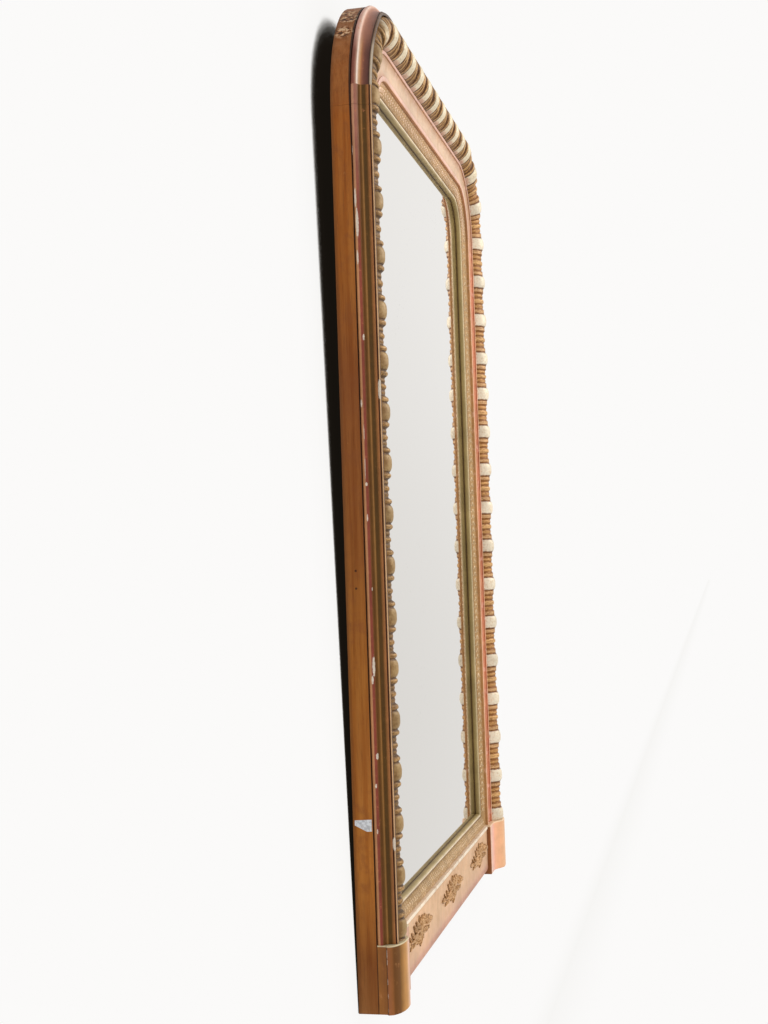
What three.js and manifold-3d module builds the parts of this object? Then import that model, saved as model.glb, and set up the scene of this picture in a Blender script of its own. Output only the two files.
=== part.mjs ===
// Pier mirror with an arched-corner gilt frame, made to hang flat against a wall.
// Millimetres, +Z up. The front faces -Y, the back lies in the plane Y = 0, and the origin
// is the middle of the back. A carcass of pine boards carries the applied mouldings: an
// outer edge moulding, a cross-reeded torus, a hollow and a sight moulding over the glass.
// Sections are drawn as [inset, depth]: inset runs inwards from the outline of the carcass,
// depth forwards from the back.

import * as THREE from 'three';
import { mergeVertices } from 'three/addons/utils/BufferGeometryUtils.js';
import Module from 'manifold-3d';

const wasm = await Module();
wasm.setup();

// Overall sizes of the carcass
const carcassWidth = 997;
const carcassHeight = 1400;
const carcassDepth = 27.4;
const cornerRadius = 188;
const sightSill = 115.2;          // height of the lower sight edge over the foot

// Clearances
const glue = 0.3;                 // between pieces that are glued or laid together
const boardGap = 0.6;             // round each backboard
const glassPlay = 1;              // between the glass and the carcass, edge to edge

// Outer edge moulding
const edgeWidth = 14;
const edgeRise = 26.8;
const noseHeight = 9.5;
const noseProud = 1.5;
const edgeFilletWidth = 3.8;
const edgeFilletRise = 3.5;
const edgeLedge = 1.6;

// Torus with its cross reeding, and the height of each feature over the torus's springing
const torusWidth = 45.4;
const torusSpring = 10.8;
const torusRadius = 24.8;
const barrelCrown = 21.3;
const barrelRise = 18.9;          // at the ends of a barrel
const grooveRise = 16.9;
const ringRise = 19;
const valleyRise = 14.6;
const reedRise = 17.4;            // of the middle reed
const sideReedRise = 15.6;
const barrelHalf = 11;            // half the length of a smooth barrel, along the torus
const barrelFlat = 6;             // half of its level part
const barrelRound = 2.4;
const ringHalf = 4;
const reedCount = 3;              // fine reeds between two rings
const barrelPitchLeft = 69.4;     // as near to each pitch as a whole number of them comes
const barrelPitchRight = 74;
const barrelPitchTop = 66;
const barrelPitchCorner = 63;
const firstBarrelLeft = 21;       // from the plinth to the middle of the lowest barrel
const firstBarrelRight = 14.5;
const lastBarrelLeft = 59.4;      // from the highest barrel of a side to the start of the curve
const lastBarrelRight = 71;
const torusFacets = 4;

// Hollow between the torus and the sight moulding
const hollowWidth = 44.5;
const hollowOuterRise = 13.3;
const hollowInnerRise = 12.1;
const hollowOuterFillet = 6;
const hollowInnerFillet = 7.5;
const hollowQuirk = 1.7;
const hollowDip = 2.8;

// Sight moulding, rebated over the edge of the glass
const sightWidth = 24.7;
const sightOverhang = 13.5;
const sightDrop = 6.8;            // how far its rebated lip reaches below the carcass face
const sightOuterRise = 8.2;
const sightInnerRise = 3.3;
const sightLip = 6.4;             // height of the inner edge over the back of the lip
const beadWidth = 5.3;

// Mirror glass, its wedges and the backboards
const glassThickness = 5;
const boardThickness = 9;
const boardRebate = 18;
const boardCount = 5;
const wedgeLength = 60;
const wedgeWidth = 12;
const wedgeChamfer = 2;
const wedgeInset = 200;           // from the ends of a side to the middle of its wedges

// Joints of the carcass
const tenonLength = 40;
const tenonThickness = 9;
const tenonWidth = 46;
const tenonInset = 34;
const railTenonWidth = 50;

// Foot: plinth blocks and frieze board
const plinthProud = 2.5;
const plinthRise = 32.8;
const plinthWidth = 118;
const plinthStep = 13;            // thickness of its back layer, flush with the carcass
const plinthRound = 11;
const plinthFrontEnd = 44;
const plinthFlange = 38;
const plinthFlangeRise = 18.3;
const friezeThickness = 11.3;
const friezeClear = 3;            // height of the frieze's lower edge over the foot
const friezeRound = 10;
const friezeFilletHeight = 5.5;
const friezeFilletRise = 1.6;

// Three carved sprays of leaves on the frieze
const sprayEndGap = 7;            // from a spray to the plinth beside it
const sprayGap = 84;              // from one spray to the next
const sprayBelowTop = 35;         // from the upper edge of the frieze to the line of the stems
const sprayRelief = 5.5;
const rosetteRadius = 9.5;
const stemWidth = 5;
const stemSway = 3;
const leafLength = 25;
const leafWidth = 10.5;
const leafPairs = 4;
const leafTaper = 0.13;           // share of its size that each further pair loses
const leafAngle = 66;             // degrees from the stem at which a leaf sets out
const leafCurl = 52;              // degrees that it bends towards the tip of the spray
const budLength = 22;

// Strap hangers and their rings, let into the backs of the stiles
const hangerFromTop = 330;
const hangerInset = 51;
const strapThickness = 1.5;
const strapWidth = 20;
const strapLength = 66;
const strapFirstScrew = 40;
const strapScrewPitch = 17;
const ringWire = 4;
const ringHalfWidth = 18;
const ringDrop = 10;              // straight sides of the ring, below its bar
const ringCorner = 5;
const rollTurn = 290;             // degrees through which its end is rolled
const recessMargin = 5;
const screwShank = 3.4;
const screwHead = 7.6;
const screwHeadHeight = 1.3;
const screwLength = 14;

// Fineness of the curves
const sagitta = 0.24;             // how far a facet of a corner may stand off its true curve
const flatness = 0.002;           // faces that agree this closely are made one
const plateSegments = 8;
const wireSides = 6;

// Worked out from the sizes above
const halfWidth = carcassWidth / 2;
const straightRun = carcassHeight - cornerRadius;
const halfTop = halfWidth - cornerRadius;
const torusStart = edgeWidth + glue;
const torusMiddle = torusStart + torusWidth / 2;
const hollowStart = torusStart + torusWidth + glue;
const sightStart = hollowStart + hollowWidth + glue;
const sightEdge = sightStart + sightWidth;
const boardWidth = sightEdge - sightOverhang;      // width of the carcass boards
const rebateEdge = boardWidth - boardRebate;
const railHeight = sightSill - sightOverhang;
const plinthHeight = sightSill - sightWidth - glue;
const face = carcassDepth + glue;                  // depth at which the mouldings are glued on
const glassFront = carcassDepth - sightDrop - glue;
const glassBack = glassFront - glassThickness;
const glassEdge = boardWidth + glassPlay;

// The path runs up the left stile, round the top and down the right stile, along the crest
// of the torus. Distances along it start at the foot of the left stile.
const bendRadius = cornerRadius - torusMiddle;
const bend = bendRadius * Math.PI / 2;
const leftBend = straightRun;
const topRun = leftBend + bend;
const rightBend = topRun + 2 * halfTop;
const rightRun = rightBend + bend;
const pathEnd = rightRun + straightRun;

function spot(s) {
  if (s <= leftBend) return { x: torusMiddle - halfWidth, z: s, inX: 1, inZ: 0 };
  if (s < topRun) {
    const turn = (s - leftBend) / bendRadius;
    const inX = Math.cos(turn);
    const inZ = -Math.sin(turn);
    return { x: -halfTop - bendRadius * inX, z: straightRun - bendRadius * inZ, inX, inZ };
  }
  if (s <= rightBend) {
    return { x: s - topRun - halfTop, z: carcassHeight - torusMiddle, inX: 0, inZ: -1 };
  }
  if (s < rightRun) {
    const turn = (s - rightBend) / bendRadius;
    const inX = -Math.sin(turn);
    const inZ = -Math.cos(turn);
    return { x: halfTop - bendRadius * inX, z: straightRun - bendRadius * inZ, inX, inZ };
  }
  return { x: halfWidth - torusMiddle, z: pathEnd - s, inX: -1, inZ: 0 };
}

// Closes a row of equal rings of points into one solid, and turns its faces outwards.
function loft(rings, section) {
  const count = section.length;
  const flat = section.map(([inset, depth]) => new THREE.Vector2(inset, depth));
  const caps = THREE.ShapeUtils.triangulateShape(flat, []);
  const last = (rings.length - 1) * count;
  const faces = [];
  for (let r = 0; r < rings.length - 1; r++) {
    for (let i = 0; i < count; i++) {
      const a = r * count + i;
      const b = r * count + (i + 1) % count;
      faces.push([a, b, b + count], [a, b + count, a + count]);
    }
  }
  const turned = THREE.ShapeUtils.area(flat) > 0;
  for (const [a, b, c] of caps) {
    if (turned) faces.push([c, b, a], [a + last, b + last, c + last]);
    else faces.push([a, b, c], [c + last, b + last, a + last]);
  }
  return shell(rings.flat(), faces);
}

function shell(points, faces) {
  let volume = 0;
  for (const [a, b, c] of faces) {
    volume += points[a].dot(points[b].clone().cross(points[c]));
  }
  const outwards = volume > 0 ? faces : faces.map(([a, b, c]) => [a, c, b]);
  const geometry = new THREE.BufferGeometry().setFromPoints(points);
  geometry.setIndex(outwards.flat());
  return geometry;
}

// A section carried along the path. A mitre shifts an end along the path by the inset from
// the outer corner of the section.
function ringAt(section, s, shift = () => 0) {
  const { x, z, inX, inZ } = spot(s);
  return section.map(([inset, depth]) => {
    const inward = inset - torusMiddle;
    const along = shift(inset);
    return new THREE.Vector3(x + inX * inward, -depth, z + inZ * inward + along);
  });
}

function bendSteps(section) {
  const radius = cornerRadius - Math.min(...section.map(([inset]) => inset));
  return Math.ceil(Math.PI / 4 / Math.acos(1 - sagitta / radius));
}

function run(section, from, to, footShift) {
  const bent = (from >= leftBend && to <= topRun) || (from >= rightBend && to <= rightRun);
  const steps = bent ? bendSteps(section) : 1;
  const rings = [];
  for (let i = 0; i <= steps; i++) {
    const s = from + (to - from) * i / steps;
    const atFoot = s < leftBend ? i === 0 : i === steps && s > rightRun;
    rings.push(ringAt(section, s, atFoot ? footShift : undefined));
  }
  return loft(rings, section);
}

function arc(centreA, centreD, radiusA, radiusD, fromDeg, toDeg, steps) {
  const points = [];
  for (let i = 0; i <= steps; i++) {
    const angle = THREE.MathUtils.degToRad(fromDeg + (toDeg - fromDeg) * i / steps);
    points.push([centreA + radiusA * Math.cos(angle), centreD + radiusD * Math.sin(angle)]);
  }
  return points;
}

// Joins and cuts
function toSolid(geometry) {
  const bare = geometry.clone();
  bare.deleteAttribute('normal');
  bare.deleteAttribute('uv');
  const merged = mergeVertices(bare, 1e-4);
  const vertProperties = new Float32Array(merged.attributes.position.array);
  const triVerts = new Uint32Array(merged.index.array);
  return new wasm.Manifold(new wasm.Mesh({ numProp: 3, vertProperties, triVerts }));
}

function toGeometry(solid) {
  const mesh = solid.getMesh();
  const geometry = new THREE.BufferGeometry();
  geometry.setAttribute('position', new THREE.BufferAttribute(mesh.vertProperties, 3));
  geometry.setIndex(new THREE.BufferAttribute(mesh.triVerts, 1));
  return geometry;
}

function cut(body, ...tools) {
  return toGeometry(tools.reduce((rest, tool) => rest.subtract(toSolid(tool)), toSolid(body)));
}

function join(...bodies) {
  return toGeometry(bodies.map(toSolid).reduce((whole, body) => whole.add(body)));
}

// Box from its limits in X, in depth and in Z
function block(left, right, back, front, low, high) {
  const box = new THREE.BoxGeometry(right - left, front - back, high - low);
  return box.translate((left + right) / 2, -(back + front) / 2, (low + high) / 2);
}

// Flat sheet: a shape in X and Z, given a thickness forwards from a depth
function sheet(shape, back, thickness) {
  const options = { depth: thickness, bevelEnabled: false, curveSegments: plateSegments };
  return new THREE.ExtrudeGeometry(shape, options).rotateX(Math.PI / 2).translate(0, -back, 0);
}

// The same piece for the other side of the mirror
function mirrored(geometry) {
  const flipped = geometry.clone().applyMatrix4(new THREE.Matrix4().makeScale(-1, 1, 1));
  const index = flipped.index.array;
  for (let i = 0; i < index.length; i += 3) {
    [index[i + 1], index[i + 2]] = [index[i + 2], index[i + 1]];
  }
  return flipped;
}

// Outline with two rounded upper corners, inset from the carcass
function archedShape(inset, low) {
  const side = halfWidth - inset;
  const radius = cornerRadius - inset;
  const shape = new THREE.Shape();
  shape.moveTo(-side, low);
  shape.lineTo(side, low);
  shape.lineTo(side, straightRun);
  shape.absarc(halfTop, straightRun, radius, 0, Math.PI / 2);
  shape.lineTo(-halfTop, carcassHeight - inset);
  shape.absarc(-halfTop, straightRun, radius, Math.PI / 2, Math.PI);
  return shape;
}

// Finishes
const finish = (color, roughness, metalness) => (
  new THREE.MeshStandardMaterial({ color, roughness, metalness }));
const paint = {
  carcass: finish('#96602c', 0.7, 0),
  edge: finish('#8a5a26', 0.5, 0.3),
  torus: finish('#b08a4c', 0.5, 0.3),
  hollow: finish('#e3c4a0', 0.6, 0.1),
  sight: finish('#b59a72', 0.6, 0.2),
  foot: finish('#c58a52', 0.55, 0.1),
  glass: finish('#dfe3e2', 0.03, 1),
  pine: finish('#b88d58', 0.8, 0),
  iron: finish('#56524d', 0.5, 0.9),
};

const frame = new THREE.Group();
frame.position.z = -carcassHeight / 2;

function place(name, geometry, material, parent = frame) {
  const mesh = new THREE.Mesh(geometry, material);
  mesh.name = name;
  parent.add(mesh);
  return mesh;
}

// Carcass boards, with a rebate at the back for the backboards
const boardSection = [
  [0, 0],
  [rebateEdge, 0],
  [rebateEdge, boardThickness],
  [boardWidth, boardThickness],
  [boardWidth, carcassDepth],
  [0, carcassDepth],
];
const tenonBack = (boardThickness + carcassDepth - tenonThickness) / 2;
const tenonFront = tenonBack + tenonThickness;
const railTenonLow = (railHeight - boardRebate - railTenonWidth) / 2;

function stileTenon(room) {
  const left = -halfWidth + tenonInset - room;
  const right = left + tenonWidth + 2 * room;
  const top = straightRun + tenonLength + room;
  return block(left, right, tenonBack - room, tenonFront + room, straightRun - tenonLength, top);
}

function topRailTenon(room) {
  const top = carcassHeight - tenonInset + room;
  const low = top - tenonWidth - 2 * room;
  const end = -halfTop - tenonLength - room;
  return block(end, tenonLength - halfTop, tenonBack - room, tenonFront + room, low, top);
}

function bottomRailTenon(room) {
  const left = boardWidth - halfWidth - tenonLength - room;
  const low = railTenonLow - room;
  const high = railTenonLow + railTenonWidth + room;
  return block(left, left + 2 * tenonLength, tenonBack - room, tenonFront + room, low, high);
}

// The ring's bar turns in the rolled end of the strap, inside the thickness of the stile.
const rollInner = ringWire / 2 + glue;
const rollOuter = rollInner + strapThickness;
const recessDepth = 2 * (rollOuter + glue);
const hingeDepth = recessDepth / 2;
const hingeHeight = carcassHeight - hangerFromTop;
const hingeX = hangerInset - halfWidth;
const ringReach = ringDrop + ringHalfWidth + ringWire / 2;
const screwDrops = [strapFirstScrew, strapFirstScrew + strapScrewPitch];

function hangerRecess() {
  const side = ringHalfWidth + ringWire / 2 + recessMargin;
  const low = hingeHeight - strapLength - recessMargin;
  const high = hingeHeight + ringReach + recessMargin;
  return block(hingeX - side, hingeX + side, -recessDepth, recessDepth, low, high);
}

function screwHole(drop) {
  const radius = screwShank / 2 + glue;
  const hole = new THREE.CylinderGeometry(radius, radius, 2 * screwLength, 8);
  return hole.translate(hingeX, -recessDepth, hingeHeight - drop);
}

function stile() {
  const board = block(-halfWidth, boardWidth - halfWidth, 0, carcassDepth, 0, straightRun - glue);
  const rebate = block(rebateEdge - halfWidth, 0, -1, boardThickness,
    railHeight - boardRebate, carcassHeight);
  const holes = screwDrops.map(screwHole);
  return cut(join(board, stileTenon(0)), rebate, bottomRailTenon(glue), hangerRecess(), ...holes);
}

function cornerBlock() {
  return cut(run(boardSection, leftBend, topRun - glue), stileTenon(glue), topRailTenon(glue));
}

function topRail() {
  const tenon = topRailTenon(0);
  return join(run(boardSection, topRun, rightBend), tenon, mirrored(tenon));
}

function bottomRail() {
  const end = boardWidth - halfWidth + glue;
  const rail = block(end, -end, 0, carcassDepth, 0, railHeight);
  const tenon = bottomRailTenon(0);
  const rebate = block(end - 1, 1 - end, -1, boardThickness, railHeight - boardRebate,
    railHeight + 1);
  return cut(join(rail, tenon, mirrored(tenon)), rebate);
}

const stileGeometry = stile();
const cornerGeometry = cornerBlock();
place('stile_left', stileGeometry, paint.carcass);
place('stile_right', mirrored(stileGeometry), paint.carcass);
place('corner_block_left', cornerGeometry, paint.carcass);
place('corner_block_right', mirrored(cornerGeometry), paint.carcass);
place('rail_top', topRail(), paint.carcass);
place('rail_bottom', bottomRail(), paint.carcass);

// Mouldings of the sides and top, each in five lengths that meet where the curves start
const foot = plinthHeight + glue;
const lengths = [
  ['left', foot, leftBend - glue],
  ['corner_left', leftBend, topRun - glue],
  ['top', topRun, rightBend - glue],
  ['corner_right', rightBend, rightRun - glue],
  ['right', rightRun, pathEnd - foot],
];

function edgeSection() {
  const noseTop = face + noseHeight;
  const noseInset = 3;
  const coveInset = edgeWidth - edgeFilletWidth - edgeLedge;
  const coveTop = face + edgeRise - edgeFilletRise;
  return [
    ...arc(noseInset, face + noseHeight / 2, noseInset + noseProud, noseHeight / 2, 270, 90, 5),
    ...arc(noseInset, coveTop, coveInset - noseInset, coveTop - noseTop, 300, 360, 3),
    [edgeWidth - edgeFilletWidth, coveTop],
    [edgeWidth - edgeFilletWidth, face + edgeRise],
    [edgeWidth, face + edgeRise],
    [edgeWidth, face],
  ];
}

function hollowSection() {
  const start = hollowStart;
  const end = hollowStart + hollowWidth;
  const outer = face + hollowOuterRise;
  const inner = face + hollowInnerRise;
  const from = start + hollowOuterFillet;
  const to = end - hollowInnerFillet;
  const sag = (share) => {
    const level = THREE.MathUtils.lerp(outer, inner, share) - hollowQuirk;
    return [THREE.MathUtils.lerp(from, to, share), level - hollowDip * 4 * share * (1 - share)];
  };
  return [
    [start, face],
    [start, outer],
    [from, outer],
    ...[0, 0.25, 0.5, 0.75, 1].map(sag),
    [to, inner],
    [end, inner],
    [end, face],
  ];
}

function sightSection() {
  const lipBack = carcassDepth - sightDrop;
  const beadStart = sightEdge - beadWidth;
  const beadMiddle = lipBack + sightLip;
  return [
    [sightStart, face],
    [sightStart, face + sightOuterRise],
    [(sightStart + beadStart) / 2, face + (sightOuterRise + sightInnerRise) / 2 + 0.9],
    [beadStart, face + sightInnerRise],
    ...arc(sightEdge - beadWidth / 2, beadMiddle, beadWidth / 2, beadWidth / 2, 150, 0, 3),
    [sightEdge, lipBack],
    [boardWidth + glue, lipBack],
    [boardWidth + glue, face],
  ];
}

const edge = edgeSection();
const hollow = hollowSection();
const sight = sightSection();
const sightFoot = sightSill + glue;
const sightLengths = lengths.map(([side, from, to]) => {
  if (side === 'left') return [side, sightFoot, to];
  if (side === 'right') return [side, from, pathEnd - sightFoot];
  return [side, from, to];
});

for (const [side, from, to] of lengths) {
  place(`edge_moulding_${side}`, run(edge, from, to), paint.edge);
  place(`hollow_moulding_${side}`, run(hollow, from, to), paint.hollow);
}
for (const [side, from, to] of sightLengths) {
  const footShift = (inset) => inset - sightEdge;
  place(`sight_moulding_${side}`, run(sight, from, to, footShift), paint.sight);
}

// The lower sight moulding runs from side to side and meets the others in mitres.
function lowerSight() {
  const rings = [-1, 1].map((side) => sight.map(([inset, depth]) => (
    new THREE.Vector3(side * (halfWidth - inset - glue), -depth, sightSill + inset - sightEdge))));
  return loft(rings, sight);
}
place('sight_moulding_bottom', lowerSight(), paint.sight);

// Middles of the smooth barrels of the torus, as distances along the path. A whole number of
// equal gaps fills each side and the top.
const grooveHalf = barrelHalf + barrelRound;

function evenly(from, to, pitch) {
  const gaps = Math.max(1, Math.round((to - from) / pitch));
  return Array.from({ length: gaps + 1 }, (_, i) => from + (to - from) * i / gaps);
}

function barrelMiddles() {
  const left = evenly(foot + firstBarrelLeft, leftBend - lastBarrelLeft, barrelPitchLeft);
  const top = evenly(topRun + grooveHalf, rightBend - grooveHalf, barrelPitchTop);
  const right = evenly(rightRun + lastBarrelRight, pathEnd - foot - firstBarrelRight,
    barrelPitchRight);
  const cornerLeft = evenly(left.at(-1), top[0], barrelPitchCorner).slice(1, -1);
  const cornerRight = evenly(top.at(-1), right[0], barrelPitchCorner).slice(1, -1);
  return { left, cornerLeft, top, cornerRight, right };
}

// The torus rises and falls along the path: barrel, groove, ring, then fine reeds, a ring, a
// groove and the next barrel.
function reedingBetween(from, to) {
  const ring = grooveHalf + ringHalf;
  const valley = ring + ringHalf;
  const reedStart = from + valley;
  const reed = (to - from - 2 * valley) / reedCount;
  const reeds = [];
  for (let i = 0; i < reedCount; i++) {
    const crest = 2 * i + 1 === reedCount ? reedRise : sideReedRise;
    reeds.push([reedStart + reed * i, valleyRise], [reedStart + reed * (i + 0.5), crest]);
  }
  return [
    [from + barrelFlat, barrelCrown],
    [from + barrelHalf, barrelRise],
    [from + grooveHalf, grooveRise],
    [from + ring, ringRise],
    ...reeds,
    [to - valley, valleyRise],
    [to - ring, ringRise],
    [to - grooveHalf, grooveRise],
    [to - barrelHalf, barrelRise],
    [to - barrelFlat, barrelCrown],
  ];
}

function torusSection(rise) {
  const spread = Math.asin(torusWidth / 2 / torusRadius);
  const low = Math.cos(spread);
  const nearestCrest = (torusFacets % 2) * spread / torusFacets;
  const high = Math.cos(nearestCrest) - low;
  const crown = [];
  for (let i = 0; i <= torusFacets; i++) {
    const angle = spread * (2 * i / torusFacets - 1);
    const depth = face + torusSpring + rise * (Math.cos(angle) - low) / high;
    crown.push([torusMiddle + torusRadius * Math.sin(angle), depth]);
  }
  return [[torusStart, face], ...crown, [torusStart + torusWidth, face]];
}

function torusLength(stations, from, to) {
  const riseAt = (s) => {
    const next = stations.findIndex(([at]) => at > s);
    const [[s0, r0], [s1, r1]] = [stations[next - 1], stations[next]];
    return THREE.MathUtils.lerp(r0, r1, (s - s0) / (s1 - s0));
  };
  const inside = stations.filter(([at]) => at > from + glue && at < to - glue);
  const all = [[from, riseAt(from)], ...inside, [to, riseAt(to)]];
  const rings = all.map(([s, rise]) => ringAt(torusSection(rise), s));
  const whole = loft(rings, torusSection(valleyRise));
  return toGeometry(toSolid(whole).simplify(flatness));
}

const barrels = barrelMiddles();
const order = [
  ...barrels.left, ...barrels.cornerLeft, ...barrels.top, ...barrels.cornerRight, ...barrels.right,
];
const before = order[0] - barrelPitchLeft;
const after = order.at(-1) + barrelPitchRight;
const bounded = [before, ...order, after];
const reeding = bounded.slice(1).flatMap((to, i) => reedingBetween(bounded[i], to));

// Its five lengths meet in the groove beside a barrel, where the joint doesn't show.
const torusJoints = [
  barrels.cornerLeft[0] - grooveHalf,
  barrels.top[0] - grooveHalf,
  barrels.top.at(-1) + grooveHalf,
  barrels.cornerRight.at(-1) + grooveHalf,
];
const torusEnds = [foot, ...torusJoints, pathEnd - foot];
lengths.forEach(([side], i) => {
  const to = torusEnds[i + 1] - (side === 'right' ? 0 : glue);
  place(`torus_${side}`, torusLength(reeding, torusEnds[i], to), paint.torus);
});

// Plinth blocks under the stile mouldings: a back layer flush with the carcass, and over it
// a rounded front that eases back to a flat flange
function plinthSection() {
  const front = face + plinthRise;
  const flange = face + plinthFlangeRise;
  const roundInset = plinthRound - plinthProud;
  const ease = [1, 2, 3, 4, 5].map((i) => {
    const share = i / 6;
    const drop = (1 - Math.cos(Math.PI * share)) / 2;
    return [
      THREE.MathUtils.lerp(plinthFrontEnd, plinthWidth - plinthFlange, share),
      THREE.MathUtils.lerp(front, flange, drop),
    ];
  });
  return [
    [0, face],
    [0, face + plinthStep],
    [-plinthProud, face + plinthStep],
    ...arc(roundInset, front - plinthRound, plinthRound, plinthRound, 180, 90, 5),
    [plinthFrontEnd, front],
    ...ease,
    [plinthWidth - plinthFlange, flange],
    [plinthWidth, flange],
    [plinthWidth, face],
  ];
}

function plinth() {
  const section = plinthSection();
  const rings = [0, plinthHeight].map((z) => section.map(([inset, depth]) => (
    new THREE.Vector3(inset - halfWidth, -depth, z))));
  return loft(rings, section);
}
const plinthGeometry = plinth();
place('plinth_left', plinthGeometry, paint.foot);
place('plinth_right', mirrored(plinthGeometry), paint.foot);

// Frieze board between the plinths, with a fillet along its top and a rounded lower edge
const friezeFront = face + friezeThickness;
const friezeEnd = halfWidth - plinthWidth - glue;

function friezeBoard() {
  const low = friezeClear;
  const top = plinthHeight;
  const section = [
    [low, face],
    ...arc(low + friezeRound, friezeFront - friezeRound, friezeRound, friezeRound, 180, 90, 5),
    [top - friezeFilletHeight, friezeFront],
    [top - friezeFilletHeight, friezeFront + friezeFilletRise],
    [top, friezeFront + friezeFilletRise],
    [top, face],
  ];
  const rings = [-friezeEnd, friezeEnd].map((x) => section.map(([z, depth]) => (
    new THREE.Vector3(x, -depth, z))));
  return loft(rings, section);
}
place('frieze_board', friezeBoard(), paint.foot);

// A leaf is a low ridge that tapers to its tip and curls as it runs, on the plane y = 0. Its
// form gives, at each share of its length, the share of its breadth and of its relief.
const leafForm = [
  [0, 0.35, 0.6],
  [0.35, 1, 1],
  [0.72, 0.75, 0.75],
  [1, 0.1, 0.25],
];

function leaf(x, z, angle, curl, length, breadth, relief) {
  const start = THREE.MathUtils.degToRad(angle);
  const bow = THREE.MathUtils.degToRad(curl);
  const rings = leafForm.map(([share, wide, high]) => {
    const heading = start + bow * share;
    const midX = x + length / bow * (Math.sin(heading) - Math.sin(start));
    const midZ = z - length / bow * (Math.cos(heading) - Math.cos(start));
    const sideX = -Math.sin(heading) * wide * breadth / 2;
    const sideZ = Math.cos(heading) * wide * breadth / 2;
    return [
      new THREE.Vector3(midX + sideX, 0, midZ + sideZ),
      new THREE.Vector3(midX, -high * relief, midZ),
      new THREE.Vector3(midX - sideX, 0, midZ - sideZ),
    ];
  });
  return loft(rings, [[-1, 0], [0, 1], [1, 0]]);
}

function rosette() {
  const profile = [
    [0, 0],
    [rosetteRadius, 0],
    [rosetteRadius * 0.85, sprayRelief * 0.8],
    [rosetteRadius * 0.45, sprayRelief * 0.65],
    [rosetteRadius * 0.35, sprayRelief],
    [0, sprayRelief],
  ];
  const points = profile.map(([radius, rise]) => new THREE.Vector2(radius, rise));
  return new THREE.LatheGeometry(points, 8).rotateX(Math.PI);
}

// To each side of a rosette runs a swaying stem with pairs of curled leaves and a bud.
function halfSpray(reach) {
  const stem = reach - budLength;
  const stemLine = (share) => stemSway * Math.sin(2 * Math.PI * share);
  const rings = [0, 0.15, 0.35, 0.5, 0.65, 0.85, 1].map((share) => {
    const half = stemWidth * (1 - 0.5 * share) / 2;
    const [x, z] = [stem * share, stemLine(share)];
    return [
      new THREE.Vector3(x, 0, z + half),
      new THREE.Vector3(x, -sprayRelief * 0.75, z),
      new THREE.Vector3(x, 0, z - half),
    ];
  });
  const pieces = [
    loft(rings, [[-1, 0], [0, 1], [1, 0]]),
    leaf(stem - 2, 0, -8, 16, budLength + 2, leafWidth * 0.8, sprayRelief * 0.8),
  ];
  for (let i = 0; i < leafPairs; i++) {
    const size = 1 - leafTaper * i;
    for (const way of [-1, 1]) {
      const share = (i + (way > 0 ? 0.45 : 0.2)) / leafPairs;
      pieces.push(leaf(stem * share, stemLine(share), way * leafAngle, -way * leafCurl,
        leafLength * size, leafWidth * size, sprayRelief * size));
    }
  }
  return pieces;
}

function spray(length) {
  const half = halfSpray(length / 2);
  const crest = [-1, 1].map((way) => (
    leaf(-1, 0, way * 86, way * 8, leafLength * 0.92, leafWidth, sprayRelief)));
  const whole = join(rosette(), ...crest, ...half, ...half.map(mirrored));
  return toGeometry(toSolid(whole).simplify(flatness));
}

const sprayLength = (2 * friezeEnd - 2 * sprayEndGap - 2 * sprayGap) / 3;
const sprayGeometry = spray(sprayLength);
for (const [side, way] of [['left', -1], ['middle', 0], ['right', 1]]) {
  const piece = place(`frieze_spray_${side}`, sprayGeometry, paint.sight);
  piece.position.set(way * (sprayLength + sprayGap), -friezeFront - glue, foot - sprayBelowTop);
}

// Looking glass, held from behind by glued wedges
const glassOutline = archedShape(glassEdge, railHeight + glassPlay);
place('mirror_glass', sheet(glassOutline, glassBack, glassThickness), paint.glass);

function wedge() {
  const back = boardThickness + glue;
  const front = glassBack - glue;
  const section = [
    [0, back],
    [wedgeWidth, back],
    [wedgeWidth, front - wedgeChamfer],
    [wedgeWidth - wedgeChamfer, front],
    [0, front],
  ];
  const rings = [-wedgeLength / 2, wedgeLength / 2].map((z) => section.map(([x, depth]) => (
    new THREE.Vector3(x, -depth, z))));
  return loft(rings, section);
}
const wedgeGeometry = wedge();

// Each wedge is turned so that its square edge lies along the carcass.
function placeWedge(name, x, z, turn) {
  const holder = new THREE.Group();
  holder.position.set(x, 0, z);
  holder.rotation.y = turn;
  frame.add(holder);
  place(`glass_wedge_${name}`, wedgeGeometry, paint.pine, holder);
}

const wedgeSide = halfWidth - boardWidth - glue;
const wedgeTop = carcassHeight - boardWidth - glue;
for (const [end, z] of [['low', railHeight + wedgeInset], ['high', straightRun - wedgeInset]]) {
  placeWedge(`left_${end}`, -wedgeSide, z, 0);
  placeWedge(`right_${end}`, wedgeSide, z, Math.PI);
}
for (const [end, x] of [['left', -halfTop / 2], ['right', halfTop / 2]]) {
  placeWedge(`top_${end}`, x, wedgeTop, Math.PI / 2);
  placeWedge(`bottom_${end}`, x, railHeight + glue, -Math.PI / 2);
}

// Backboards, laid across the rebate one over another
const rebateLow = railHeight - boardRebate;
const boardPitch = (carcassHeight - rebateEdge - rebateLow) / boardCount;
const boardOutline = archedShape(rebateEdge + boardGap, rebateLow + boardGap);
const boardSheet = toSolid(sheet(boardOutline, 0, boardThickness));
for (let i = 0; i < boardCount; i++) {
  const low = rebateLow + i * boardPitch + boardGap / 2;
  const strip = block(-halfWidth, halfWidth, -1, carcassDepth, low, low + boardPitch - boardGap);
  place(`backboard_${i + 1}`, toGeometry(boardSheet.intersect(toSolid(strip))), paint.pine);
}

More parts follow.
